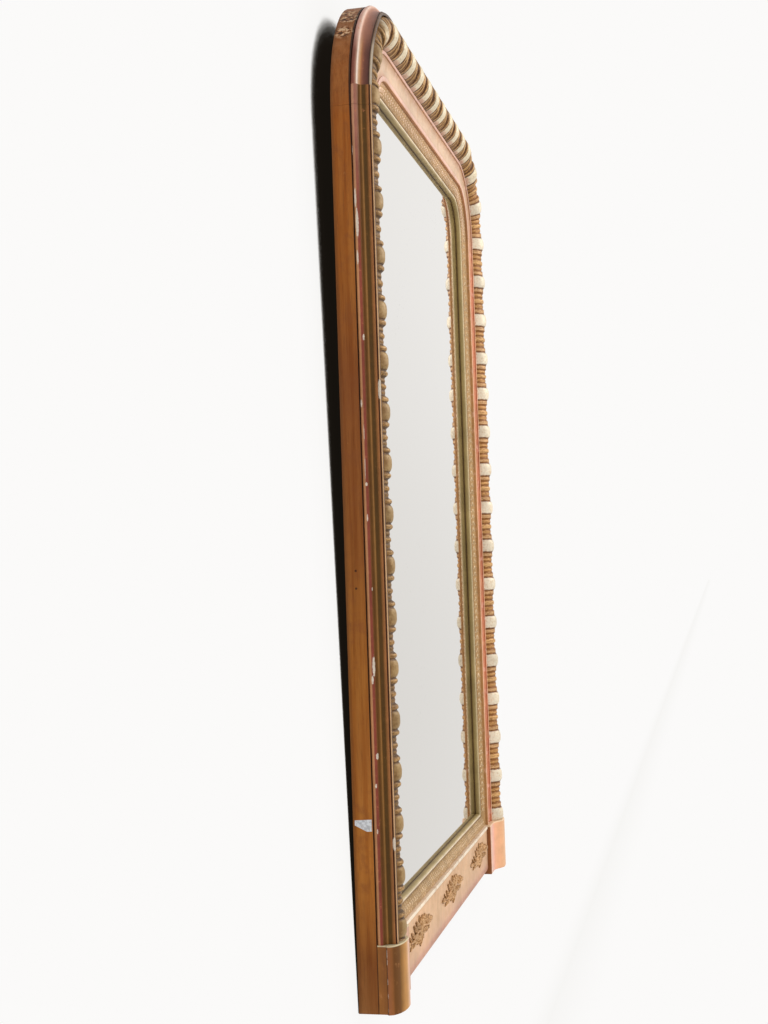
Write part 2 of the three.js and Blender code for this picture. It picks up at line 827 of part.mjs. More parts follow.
// Strap hanger: a steel plate whose upper end is rolled round the bar of its ring
function strap() {
  const section = [
    [rollOuter, -strapLength],
    ...arc(0, 0, rollOuter, rollOuter, 0, rollTurn, 9),
    ...arc(0, 0, rollInner, rollInner, rollTurn, 0, 9),
    [rollInner, -strapLength],
  ];
  const rings = [-strapWidth / 2, strapWidth / 2].map((x) => section.map(([depth, z]) => (
    new THREE.Vector3(hingeX + x, -hingeDepth - depth, hingeHeight + z))));
  return cut(loft(rings, section), ...screwDrops.map(screwHole));
}

// Round-headed wood screw, its head against the plate
function screw() {
  const shank = screwShank / 2;
  const head = screwHead / 2;
  const profile = [
    [0, -screwLength],
    [shank, -screwLength + screwShank],
    [shank, 0],
    [head, 0],
    [head * 0.7, screwHeadHeight * 0.75],
    [0, screwHeadHeight],
  ];
  const points = profile.map(([radius, rise]) => new THREE.Vector2(radius, rise));
  return new THREE.LatheGeometry(points, 8);
}

// Closed wire ring, straight along the bar and round below, drawn about its hinge
function hangerRing() {
  const side = ringHalfWidth - ringCorner;
  const bends = [
    ...arc(0, 0, 1, 1, 90, 0, 3).map((way) => [side, -ringCorner, ringCorner, way]),
    ...arc(0, 0, 1, 1, 0, -180, 10).map((way) => [0, -ringDrop, ringHalfWidth, way]),
    ...arc(0, 0, 1, 1, 180, 90, 3).map((way) => [-side, -ringCorner, ringCorner, way]),
  ];
  const points = [];
  for (const [x, z, radius, [outX, outZ]] of bends) {
    for (let i = 0; i < wireSides; i++) {
      const angle = 2 * Math.PI * i / wireSides;
      const reach = radius + ringWire / 2 * Math.cos(angle);
      const depth = ringWire / 2 * Math.sin(angle);
      points.push(new THREE.Vector3(x + outX * reach, -depth, z + outZ * reach));
    }
  }
  const faces = [];
  for (let r = 0; r < bends.length; r++) {
    const next = (r + 1) % bends.length;
    for (let i = 0; i < wireSides; i++) {
      const j = (i + 1) % wireSides;
      const [a, b] = [r * wireSides + i, r * wireSides + j];
      const [c, d] = [next * wireSides + j, next * wireSides + i];
      faces.push([a, b, c], [a, c, d]);
    }
  }
  return shell(points, faces);
}

const strapGeometry = strap();
const ringGeometry = hangerRing();
const screwGeometry = screw();
place('hanger_strap_left', strapGeometry, paint.iron);
place('hanger_strap_right', mirrored(strapGeometry), paint.iron);
for (const [side, way] of [['left', 1], ['right', -1]]) {
  const ring = place(`hanger_ring_${side}`, ringGeometry, paint.iron);
  ring.position.set(way * hingeX, -hingeDepth, hingeHeight);
  screwDrops.forEach((drop, i) => {
    const name = `hanger_screw_${side}_${i + 1}`;
    const headDepth = hingeDepth + rollInner - glue;
    const piece = place(name, screwGeometry, paint.iron);
    piece.position.set(way * hingeX, -headDepth, hingeHeight - drop);
  });
}

export default frame;
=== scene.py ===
import math

import bpy
import numpy as np
from mathutils import Matrix, Vector


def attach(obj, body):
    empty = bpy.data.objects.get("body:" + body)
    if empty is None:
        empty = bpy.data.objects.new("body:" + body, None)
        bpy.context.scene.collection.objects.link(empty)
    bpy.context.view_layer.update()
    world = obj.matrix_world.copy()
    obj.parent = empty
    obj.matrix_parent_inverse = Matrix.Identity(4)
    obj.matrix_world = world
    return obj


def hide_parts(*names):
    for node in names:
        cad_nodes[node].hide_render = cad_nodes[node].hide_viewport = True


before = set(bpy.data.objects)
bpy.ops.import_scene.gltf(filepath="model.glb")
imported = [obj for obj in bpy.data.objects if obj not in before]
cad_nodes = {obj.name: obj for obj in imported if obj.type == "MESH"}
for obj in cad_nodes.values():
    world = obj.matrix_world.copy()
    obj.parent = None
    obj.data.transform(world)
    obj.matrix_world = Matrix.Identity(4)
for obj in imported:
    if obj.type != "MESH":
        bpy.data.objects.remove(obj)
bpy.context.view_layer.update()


# --- Camera ---------------------------------------------------------------------------
# The picture is taken from far to the left, half a metre in front of the wall, so the
# mirror is seen at 11 degrees to its face, with the case's left side nearest.
camera_place = Vector((-2.4421, -0.4886, -0.1029))
camera_yaw = 0.2191
camera_pitch = 0.0326
camera_roll = -0.0323
focal_pixels = 1500
picture_height = 1024
sensor = 36

ahead = Vector((math.cos(camera_pitch) * math.cos(camera_yaw),
                math.cos(camera_pitch) * math.sin(camera_yaw), math.sin(camera_pitch)))
level = ahead.cross(Vector((0, 0, 1))).normalized()
rising = level.cross(ahead)
right = level * math.cos(camera_roll) + rising * math.sin(camera_roll)
up = rising * math.cos(camera_roll) - level * math.sin(camera_roll)

camera_data = bpy.data.cameras.new("photograph")
camera_data.sensor_width = sensor
camera_data.lens = focal_pixels / picture_height * sensor
camera_data.clip_start = 0.05
camera = bpy.data.objects.new("photograph", camera_data)
camera.matrix_world = Matrix((
    (right.x, up.x, -ahead.x, camera_place.x),
    (right.y, up.y, -ahead.y, camera_place.y),
    (right.z, up.z, -ahead.z, camera_place.z),
    (0, 0, 0, 1)))
bpy.context.scene.collection.objects.link(camera)
bpy.context.scene.camera = camera
bpy.context.scene.view_settings.view_transform = "Standard"


# --- Case -----------------------------------------------------------------------------
# Two stiles, two quarter-round corner blocks and two rails of pine, tenoned together and
# stained ochre brown on the outside. The stain has worn and darkened in long streaks.
def colour(code):
    """A written colour such as #82542f, as Blender's linear values."""
    parts = [int(code[i:i + 2], 16) / 255 for i in (1, 3, 5)]
    linear = [p / 12.92 if p <= 0.04045 else ((p + 0.055) / 1.055) ** 2.4 for p in parts]
    return (*linear, 1.0)


def add(tree, kind, inputs=None, **settings):
    """A node with its settings made, and its inputs set or linked."""
    node = tree.nodes.new(kind)
    for key, value in settings.items():
        setattr(node, key, value)
    for key, value in (inputs or {}).items():
        if isinstance(value, bpy.types.NodeSocket):
            tree.links.new(value, node.inputs[key])
        else:
            node.inputs[key].default_value = value
    return node


def sums(tree, operation, *values):
    """A Math node on values or sockets."""
    node = add(tree, "ShaderNodeMath", dict(enumerate(values)), operation=operation)
    return node.outputs[0]


def mixed(tree, factor, first, second, blend="MIX"):
    """Two colours mixed."""
    node = add(tree, "ShaderNodeMix", {0: factor, 6: first, 7: second},
               data_type="RGBA", blend_type=blend)
    return node.outputs[2]


def stepped(tree, value, low, high, to_low=0.0, to_high=1.0):
    """A value taken smoothly from one range to another."""
    node = add(tree, "ShaderNodeMapRange", {0: value, 1: low, 2: high, 3: to_low, 4: to_high},
               interpolation_type="SMOOTHSTEP")
    return node.outputs[0]


def noise(tree, vector, scale, detail=4.0, roughness=0.55):
    node = add(tree, "ShaderNodeTexNoise",
               {"Vector": vector, "Scale": scale, "Detail": detail, "Roughness": roughness})
    return node.outputs[0]


def ramp(tree, factor, stops):
    """Colours at given places from 0 to 1."""
    node = add(tree, "ShaderNodeValToRGB", {0: factor})
    elements = node.color_ramp.elements
    while len(elements) < len(stops):
        elements.new(0.5)
    for element, (place, code) in zip(elements, stops):
        element.position = place
        element.color = colour(code)
    return node.outputs[0]


def dabbed(tree, base, code, value, low, high, amount=1.0):
    """A colour laid over another where a value passes from low to high."""
    return mixed(tree, stepped(tree, value, low, high, 0.0, amount), base, colour(code))


def covered(tree, base, code, mask, amount):
    """A colour laid over another where a mask is 1, as strongly as the amount says."""
    return mixed(tree, sums(tree, "MULTIPLY", mask, amount), base, colour(code))


def axes(tree, vector):
    """The X, Y and Z of a vector."""
    return add(tree, "ShaderNodeSeparateXYZ", {0: vector}).outputs


def group(name, inputs, outputs, kind="ShaderNodeTree"):
    """A node group with named inputs and outputs, and the sockets of its two end nodes."""
    tree = bpy.data.node_groups.new(name, kind)
    for label, holds, *default in inputs:
        made = tree.interface.new_socket(label, in_out="INPUT", socket_type="NodeSocket" + holds)
        if default:
            made.default_value = default[0]
    for label, holds in outputs:
        tree.interface.new_socket(label, in_out="OUTPUT", socket_type="NodeSocket" + holds)
    source, result = tree.nodes.new("NodeGroupInput"), tree.nodes.new("NodeGroupOutput")
    return tree, source.outputs, result.inputs


def into(tree, value, socket):
    tree.links.new(value, socket)


def use(tree, name, inputs):
    """A node group placed in a material, as its outputs."""
    return add(tree, "ShaderNodeGroup", inputs, node_tree=bpy.data.node_groups[name]).outputs


def new_material(name):
    """A material, its tree, its surface node and the place on the object."""
    material = bpy.data.materials.new(name)
    material.use_nodes = True
    tree = material.node_tree
    place = add(tree, "ShaderNodeTexCoord").outputs["Object"]
    return material, tree, tree.nodes["Principled BSDF"], place


def bumped(tree, skin, height, strength, distance):
    bump = add(tree, "ShaderNodeBump", {"Height": height, "Strength": strength,
                                        "Distance": distance})
    into(tree, bump.outputs[0], skin.inputs["Normal"])


def dress(names, material):
    """CAD nodes that keep their shape get their finish."""
    for name in names:
        mesh = cad_nodes[name].data
        mesh.materials.clear()
        mesh.materials.append(material)


def make_wood_grain():
    """Long streaks, fine pores and slow changes of tone. The grain runs along Z."""
    tree, source, result = group(
        "wood grain", [("Vector", "Vector"), ("Fineness", "Float", 1.0)],
        [("Streaks", "Float"), ("Pores", "Float"), ("Tone", "Float")])
    sized = add(tree, "ShaderNodeVectorMath", {0: source["Vector"], 3: source["Fineness"]},
                operation="SCALE").outputs[0]
    drawn = add(tree, "ShaderNodeVectorMath", {0: sized, 1: (1.0, 1.0, 0.035)},
                operation="MULTIPLY").outputs[0]
    into(tree, noise(tree, drawn, 150.0, 7.0, 0.62), result["Streaks"])
    fine = noise(tree, drawn, 900.0, 3.0, 0.6)
    into(tree, stepped(tree, fine, 0.56, 0.66), result["Pores"])
    into(tree, noise(tree, sized, 9.0, 3.0, 0.5), result["Tone"])


make_wood_grain()


def within(tree, value, low, high, soft=0.0003):
    """1 between two limits, with soft edges."""
    return sums(tree, "MULTIPLY", stepped(tree, value, low - soft, low + soft),
                stepped(tree, value, high + soft, high - soft))


def near_to(tree, place, point, far, close):
    """1 near a point of the object, falling to 0."""
    away = add(tree, "ShaderNodeVectorMath", {0: place, 1: point}, operation="DISTANCE")
    return stepped(tree, away.outputs["Value"], far, close)


case_length = 1.4
sticker_low, sticker_high = -0.4614, -0.4458
sticker_back, sticker_front = -0.0025, -0.0255
chipped_spots = [(-0.4183, -0.010, 0.666), (-0.4606, -0.012, 0.6252), (-0.4363, -0.014, 0.6517)]
nail_holes = [(-0.4985, -0.0145, -0.115), (-0.4985, -0.0145, -0.1385)]


def case_finish(name, turn):
    """Ochre stain over pine, with the grain turned to run along the board."""
    material, tree, skin, place = new_material(name)
    grain_way = add(tree, "ShaderNodeMapping", {"Vector": place, "Rotation": turn}).outputs[0]
    grain = use(tree, "wood grain", {"Vector": grain_way, "Fineness": 1.0})
    part = axes(tree, place)
    drift = sums(tree, "MULTIPLY_ADD", grain["Tone"], 0.12, sums(tree, "ADD", part["Z"], -0.06))
    share = sums(tree, "MULTIPLY_ADD", drift, 1 / case_length, 0.5)
    stain = ramp(tree, share, [
        (0.0, "#8d5c30"), (0.05, "#844f20"), (0.13, "#ae6e2a"), (0.23, "#9e6328"),
        (0.31, "#9e6426"), (0.45, "#8a5321"), (0.59, "#80491f"), (0.71, "#9c6025"),
        (0.86, "#98581e"), (0.95, "#8f5c33")])
    worn = mixed(tree, 1.0, stain, colour("#e4d2b4"), "MULTIPLY")
    streaked = mixed(tree, stepped(tree, grain["Streaks"], 0.38, 0.68), stain, worn)
    pored = covered(tree, streaked, "#4a280f", grain["Pores"], 0.3)
    blotch = noise(tree, place, 34.0, 7.0, 0.7)
    reddened = dabbed(tree, pored, "#7c4620", blotch, 0.5, 0.68, 0.55)
    scuff = noise(tree, place, 90.0, 9.0, 0.75)
    scuffed = dabbed(tree, reddened, "#c39358", scuff, 0.66, 0.71, 0.45)
    # darker towards the back edge, by the wall
    back_edge_darkening = stepped(tree, part["Y"], -0.006, -0.0005, 0.0, 0.55)
    high_dirt = stepped(tree, part["Z"], 0.50, 0.66, 0.0, 0.35)
    patchy_dirt = sums(tree, "MULTIPLY", high_dirt, stepped(tree, blotch, 0.4, 0.6))
    darkened_and_soiled = mixed(tree, sums(tree, "MAXIMUM", back_edge_darkening, patchy_dirt), scuffed,
                   colour("#5a371b"))
    # dark joint against the edge moulding, wider round the corner
    gap_from = stepped(tree, part["Z"], 0.40, 0.62, -0.0266, -0.0246)
    joint = stepped(tree, sums(tree, "SUBTRACT", part["Y"], gap_from), 0.0003, -0.0004)
    jointed = covered(tree, darkened_and_soiled, "#24130a", joint, 0.92)
    # chips and pits on the shoulder of the near corner, and two nail holes
    pits = noise(tree, place, 190.0, 5.0, 0.6)
    near = near_to(tree, place, chipped_spots[0], 0.016, 0.006)
    for point in chipped_spots[1:]:
        near = sums(tree, "MAXIMUM", near, near_to(tree, place, point, 0.017, 0.007))
    chip = sums(tree, "MULTIPLY", near, stepped(tree, pits, 0.53, 0.57))
    hole = sums(tree, "MULTIPLY", near, stepped(tree, pits, 0.46, 0.42))
    for point in nail_holes:
        hole = sums(tree, "MAXIMUM", hole, near_to(tree, place, point, 0.0019, 0.0012))
    chipped = covered(tree, jointed, "#d6b892", chip, 0.75)
    pitted = covered(tree, chipped, "#2c1708", hole, 0.9)
    # a blank silvery paper sticker with one torn corner, on the left side only
    tilt = sums(tree, "MULTIPLY_ADD", part["Y"], 0.05, part["Z"])
    torn = sums(tree, "MULTIPLY_ADD", part["Y"], -0.55, tilt)
    paper = sums(tree, "MULTIPLY", within(tree, tilt, sticker_low, sticker_high),
                 within(tree, part["Y"], sticker_front, sticker_back))
    paper = sums(tree, "MULTIPLY", paper, stepped(tree, torn, -0.4514, -0.4508))
    paper = sums(tree, "MULTIPLY", paper, sums(tree, "LESS_THAN", part["X"], -0.498))
    # painted shade: the sticker's creases are only darker grey, with no relief
    crease_shade = noise(tree, place, 260.0, 3.0, 0.6)
    foil = dabbed(tree, colour("#d3d6da"), "#aeb0b4", crease_shade, 0.4, 0.62)
    into(tree, mixed(tree, paper, pitted, foil), skin.inputs["Base Color"])
    rough = stepped(tree, grain["Streaks"], 0.3, 0.75, 0.5, 0.66)
    into(tree, sums(tree, "MULTIPLY_ADD", paper, -0.2, rough), skin.inputs["Roughness"])
    skin.inputs["Specular IOR Level"].default_value = 0.16
    relief = sums(tree, "SUBTRACT", grain["Streaks"], sums(tree, "MULTIPLY", hole, 3.0))
    relief = sums(tree, "MULTIPLY", relief, sums(tree, "SUBTRACT", 1.0, paper))
    bumped(tree, skin, relief, 0.35, 0.0006)
    return material


upright_case = case_finish("ochre stain, upright", (0, 0, 0))
level_case = case_finish("ochre stain, level", (0, math.pi / 2, 0))
dress(["stile_left", "stile_right", "corner_block_left", "corner_block_right"], upright_case)
dress(["rail_top", "rail_bottom"], level_case)


# --- Edge moulding --------------------------------------------------------------------
# A rounded nose, a deep cove and a flat fillet, run in five lengths of pine and glued to
# the front of the case. Bole and gilding have worn to cream gesso in chips on the nose.
half_width = 498.5
case_height = 1400
corner_radius = 188
face_depth = 27.7
glue = 0.3
torus_middle = 37
straight_run = case_height - corner_radius
half_top = half_width - corner_radius
bend_radius = corner_radius - torus_middle
bend = bend_radius * math.pi / 2
left_bend = straight_run
top_run = left_bend + bend
right_bend = top_run + 2 * half_top
right_run = right_bend + bend
path_end = right_run + straight_run
foot_top = 90.5


def along_path(s):
    """Places on the line up the left side, round the top and down the right, with the
    direction inwards, at distances in millimetres from the left foot."""
    s = np.asarray(s, float)
    turn_left = np.clip((s - left_bend) / bend_radius, 0, math.pi / 2)
    turn_right = np.clip((s - right_bend) / bend_radius, 0, math.pi / 2)
    on_right = s > right_bend
    in_x = np.where(on_right, -np.sin(turn_right), np.cos(turn_left))
    in_z = np.where(on_right, -np.cos(turn_right), -np.sin(turn_left))
    in_x = np.where((s >= top_run) & ~on_right, 0.0, in_x)
    in_z = np.where((s >= top_run) & ~on_right, -1.0, in_z)
    x = np.where(on_right, half_top, -half_top) - bend_radius * in_x
    x = np.where((s >= top_run) & ~on_right, s - top_run - half_top, x)
    z = straight_run - bend_radius * in_z
    z = np.where(s < left_bend, s, np.where(s > right_run, path_end - s, z))
    return x, z, in_x, in_z


def refined(outline, spacing):
    """An outline of [inset, depth, band] points with points added along its long sides, but
    not on a hidden side, whose band is -1; after that the bands are clipped to 0 and 1."""
    points = []
    for here, there in zip(outline, np.roll(outline, -1, axis=0)):
        length = math.hypot(there[0] - here[0], there[1] - here[1])
        steps = max(1, math.ceil(length / spacing))
        if there[2] < 0 or here[2] < 0:
            steps = 1
        points += [here + (there - here) * i / steps for i in range(steps)]
    points = np.array(points)
    points[:, 2] = np.clip(points[:, 2], 0, 1)
    return points


def round_points(centre, radii, start, end, steps, band_start, band_end):
    """Part of an ellipse, as [inset, depth, band] points; angles in degrees."""
    angles = np.radians(np.linspace(start, end, steps + 1))
    return np.stack([centre[0] + radii[0] * np.cos(angles),
                     centre[1] + radii[1] * np.sin(angles),
                     np.linspace(band_start, band_end, steps + 1)], axis=1)


def solid_of_rings(name, x, depth, z, bands, distances):
    """Equal closed rings of points, a ring in each row, skinned into one solid; depths from
    the wall and heights from the foot, in millimetres. Its UV map holds the distance along
    it in metres and the band across it."""
    points = np.stack(np.broadcast_arrays(x, -depth, z), axis=2)
    rings, count = points.shape[:2]
    flat = points.reshape(-1, 3) * 0.001 - np.array([0, 0, case_height * 0.0005])
    ring = np.arange(count)
    after = np.roll(ring, -1)
    starts = np.arange(rings - 1)[:, None] * count
    quads = np.stack([starts + ring, starts + after, starts + count + after,
                      starts + count + ring], axis=2).reshape(-1, 4)
    # a long bent solid isn't star-shaped, so the side that the first quads face decides
    mean = points[0].mean(0) * 0.001 - np.array([0, 0, case_height * 0.0005])
    first = quads[:count]
    p, q, r = (flat[first[:, i]] for i in (0, 1, 2))
    outward = np.einsum("ij,ij->i", np.cross(q - p, r - p), p - mean).sum() > 0
    last = (rings - 1) * count
    caps = [list(ring[::-1]), list(ring + last)]
    if not outward:
        quads = quads[:, ::-1]
        caps = [cap[::-1] for cap in caps]
    mesh = bpy.data.meshes.new(name)
    mesh.from_pydata(flat.tolist(), [], quads.tolist() + caps)
    corner = np.zeros(len(mesh.loops), np.int32)
    mesh.loops.foreach_get("vertex_index", corner)
    along = np.repeat(np.asarray(distances) * 0.001, count)
    across = np.tile(bands, rings)
    uv = np.stack([along[corner], across[corner]], axis=1)
    mesh.uv_layers.new(name="along and across").data.foreach_set("uv", uv.ravel())
    piece = bpy.data.objects.new(name, mesh)
    bpy.context.scene.collection.objects.link(piece)
    return piece


def past_bend(s, bend_start):
    """0 to the middle of a corner, growing to 1 near its end."""
    return np.clip((np.asarray(s, float) - bend_start - 120) / 90, 0, 1)


def top_share(s):
    """0 up the left side, growing smoothly to 1 round the left corner and along the top."""
    turned = past_bend(s, left_bend)
    return turned * turned * (3 - 2 * turned)


def swept(name, outline, s, foot_shift=None, slide=0.0, sink=0.0):
    """An outline carried along the path. From the left corner on it may slide outwards,
    and sink to a part of its height, because the lengths were run with unequal planes."""
    x, z, in_x, in_z = (v[:, None] for v in along_path(s))
    share = top_share(s)[:, None]
    inward = outline[None, :, 0] - torus_middle - slide * share
    rise_over = outline[None, :, 1] - face_depth
    depth = face_depth + rise_over * (1 - sink * share)
    height = z + in_z * inward
    if foot_shift is not None:
        height = height + foot_shift(s[:, None], outline[None, :, 0])
    return solid_of_rings(name, x + in_x * inward, depth, height, outline[:, 2], s)


def smoothed(piece, degrees):
    """Smooth shading, with sharp edges where the faces turn by more than an angle."""
    mesh = piece.data
    mesh.polygons.foreach_set("use_smooth", np.ones(len(mesh.polygons), bool))
    mesh.set_sharp_from_angle(angle=math.radians(degrees))
    mesh.update()


def marked(piece, name, values):
    """A value at each point of a piece, for its material."""
    made = piece.data.attributes.new(name, "FLOAT", "POINT")
    made.data.foreach_set("value", np.asarray(values, np.float32).ravel())


def risen(piece, outline, bands, values):
    """How proud each band of the outline stands, at each point of a piece."""
    rise = np.interp(outline[:, 2], bands, values)
    marked(piece, "rise", np.tile(rise, len(piece.data.vertices) // len(outline)))


def stands_for(piece, node, body="mirror_frame"):
    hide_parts(node)
    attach(piece, body)


def finished(piece, node, material, degrees=32):
    """A piece's shading and finish, and the CAD node that it stands for."""
    smoothed(piece, degrees)
    piece.data.materials.append(material)
    stands_for(piece, node)


def make_aged_gilding():
    """Gilding on bole on gesso: dirt lies low, the colour is rubbed on what stands proud,
    and where it is bare the gesso shows."""
    white = colour("#ffffff")
    tree, source, result = group(
        "aged gilding",
        [("Vector", "Vector"), ("Color", "Color", white), ("Rise", "Float", 0.5),
         ("Bare", "Float", 0.0), ("Bole", "Color", white), ("Dirt", "Color", white),
         ("Gesso", "Color", white), ("Rubbed", "Float", 0.4), ("Dirty", "Float", 0.4),
         ("Grain", "Float", 90.0)],
        [("Color", "Color"), ("Roughness", "Float"), ("Metallic", "Float"), ("Height", "Float")])
    broad = noise(tree, source["Vector"], source["Grain"], 6.0, 0.65)
    fine_scale = sums(tree, "MULTIPLY", source["Grain"], 6.0)
    fine = noise(tree, source["Vector"], fine_scale, 4.0, 0.7)
    slow_scale = sums(tree, "MULTIPLY", source["Grain"], 0.12)
    slow = noise(tree, source["Vector"], slow_scale, 3.0, 0.5)
    cloud = sums(tree, "MULTIPLY_ADD", slow, 0.6, sums(tree, "MULTIPLY", broad, 0.4))
    tone = stepped(tree, cloud, 0.3, 0.7, 0.72, 1.0)
    toned = add(tree, "ShaderNodeCombineColor", {0: tone, 1: tone, 2: tone}).outputs[0]
    base = mixed(tree, 1.0, source["Color"], toned, "MULTIPLY")
    rub_level = sums(tree, "MULTIPLY_ADD", source["Rise"], 0.16,
                     sums(tree, "MULTIPLY_ADD", fine, 0.25, broad))
    rub_from = sums(tree, "SUBTRACT", 1.05, sums(tree, "MULTIPLY", source["Rubbed"], 0.5))
    rub = stepped(tree, sums(tree, "SUBTRACT", rub_level, rub_from), -0.06, 0.1, 0.0, 1.0)
    rubbed = mixed(tree, sums(tree, "MULTIPLY", rub, 0.75), base, source["Bole"])
    low = sums(tree, "SUBTRACT", 1.0, source["Rise"])
    dirt_level = sums(tree, "MULTIPLY", source["Dirty"],
                      sums(tree, "MULTIPLY_ADD", low, 1.3, stepped(tree, fine, 0.45, 0.75)))
    dirt = stepped(tree, dirt_level, 0.25, 1.0)
    dirtied = mixed(tree, dirt, rubbed, source["Dirt"])
    ragged = noise(tree, source["Vector"], 420.0, 5.0, 0.7)
    bare_edge = sums(tree, "MULTIPLY_ADD", ragged, 0.9,
                     sums(tree, "SUBTRACT", source["Bare"], 0.45))
    bare = stepped(tree, bare_edge, 0.47, 0.53)
    gesso = mixed(tree, stepped(tree, fine, 0.4, 0.7, 0.0, 0.5), source["Gesso"], base)
    into(tree, mixed(tree, bare, dirtied, gesso), result["Color"])
    dull = sums(tree, "MAXIMUM", rub, bare)
    into(tree, stepped(tree, sums(tree, "ADD", dull, dirt), 0.0, 1.0, 0.5, 0.75),
         result["Roughness"])
    into(tree, stepped(tree, dull, 0.0, 0.7, 0.12, 0.0), result["Metallic"])
    worn = sums(tree, "MULTIPLY_ADD", dull, -0.6, sums(tree, "MULTIPLY", fine, 0.5))
    into(tree, worn, result["Height"])


make_aged_gilding()


def stored(tree, name):
    """A value that is marked on the points of a piece."""
    return add(tree, "ShaderNodeAttribute", attribute_name=name).outputs["Fac"]


def on_band(tree):
    """The distance along a piece (X) and the band across it (Y)."""
    return axes(tree, add(tree, "ShaderNodeUVMap", uv_map="along and across").outputs[0])


def gilded(name, base, bole, dirt, gesso, rubbed, dirty, grain):
    """A gilded finish. base(tree, place, across, rise) makes its colour."""
    material, tree, skin, place = new_material(name)
    rise = stored(tree, "rise")
    aged = use(tree, "aged gilding", {
        "Vector": place, "Color": base(tree, place, on_band(tree)["Y"], rise), "Rise": rise,
        "Bare": stored(tree, "bare"), "Bole": colour(bole), "Dirt": colour(dirt),
        "Gesso": colour(gesso), "Rubbed": rubbed, "Dirty": dirty, "Grain": grain})
    into(tree, aged["Color"], skin.inputs["Base Color"])
    into(tree, aged["Roughness"], skin.inputs["Roughness"])
    into(tree, aged["Metallic"], skin.inputs["Metallic"])
    skin.inputs["Specular IOR Level"].default_value = 0.2
    bumped(tree, skin, aged["Height"], 0.6, 0.0004)
    return material


nose_height = 9.5
nose_inset = 3
nose_proud = 1.28
edge_width = 14
edge_rise = 26.8
edge_fillet = 3.8
edge_step = 3.5
edge_ledge = 1.6
cove_inset = edge_width - edge_fillet - edge_ledge
cove_top = face_depth + edge_rise - edge_step
edge_outline = refined(np.concatenate([
    round_points((nose_inset, face_depth + nose_height / 2),
                 (nose_inset + nose_proud, nose_height / 2), 270, 90, 10, 0.02, 0.34),
    round_points((nose_inset, cove_top), (cove_inset - nose_inset,
                 cove_top - face_depth - nose_height), 300, 360, 9, 0.38, 0.68),
    [[edge_width - edge_fillet, cove_top, 0.74],
     [edge_width - edge_fillet, face_depth + edge_rise, 0.82],
     [edge_width - 0.4, face_depth + edge_rise, 0.95],
     [edge_width, face_depth + edge_rise - 0.4, 1.0],
     [edge_width, face_depth, -1.0]]]), 1.2)

# chips of bare gesso: height over the foot, length, band across and breadth in bands
nose_chips = [
    (1150, 14, 0.06, 0.03), (1085, 26, 0.13, 0.035), (1050, 40, 0.17, 0.045),
    (1004, 20, 0.15, 0.03), (897, 9, 0.26, 0.03), (808, 10, 0.12, 0.03), (770, 22, 0.18, 0.008),
    (722, 30, 0.18, 0.007), (700, 5, 0.2, 0.03), (655, 10, 0.2, 0.02), (458, 26, 0.25, 0.045),
    (440, 12, 0.2, 0.03), (339, 9, 0.28, 0.05), (300, 5, 0.2, 0.03), (560, 5, 0.28, 0.02),
    (240, 6, 0.2, 0.02)]
fillet_chips = [(827, 26, 0.8, 0.08), (222, 17, 0.8, 0.07)]
chip_depth = 0.0004

piece_ends = {
    "left": (foot_top, left_bend - glue), "corner_left": (left_bend, top_run - glue),
    "top": (top_run, right_bend - glue), "corner_right": (right_bend, right_run - glue),
    "right": (right_run, path_end - foot_top)}


def stations(start, end, spacing):
    return np.linspace(start, end, max(2, math.ceil((end - start) / spacing) + 1))


def chipped_value(s, band, chips):
    """1 in the middle of a chip, falling away round it."""
    value = np.zeros(np.broadcast(s, band).shape)
    for middle, length, centre, breadth in chips:
        far = ((s - middle) / (length / 2)) ** 2 + ((band - centre) / breadth) ** 2
        value = np.maximum(value, 1 / (1 + far ** 1.5))
    return value


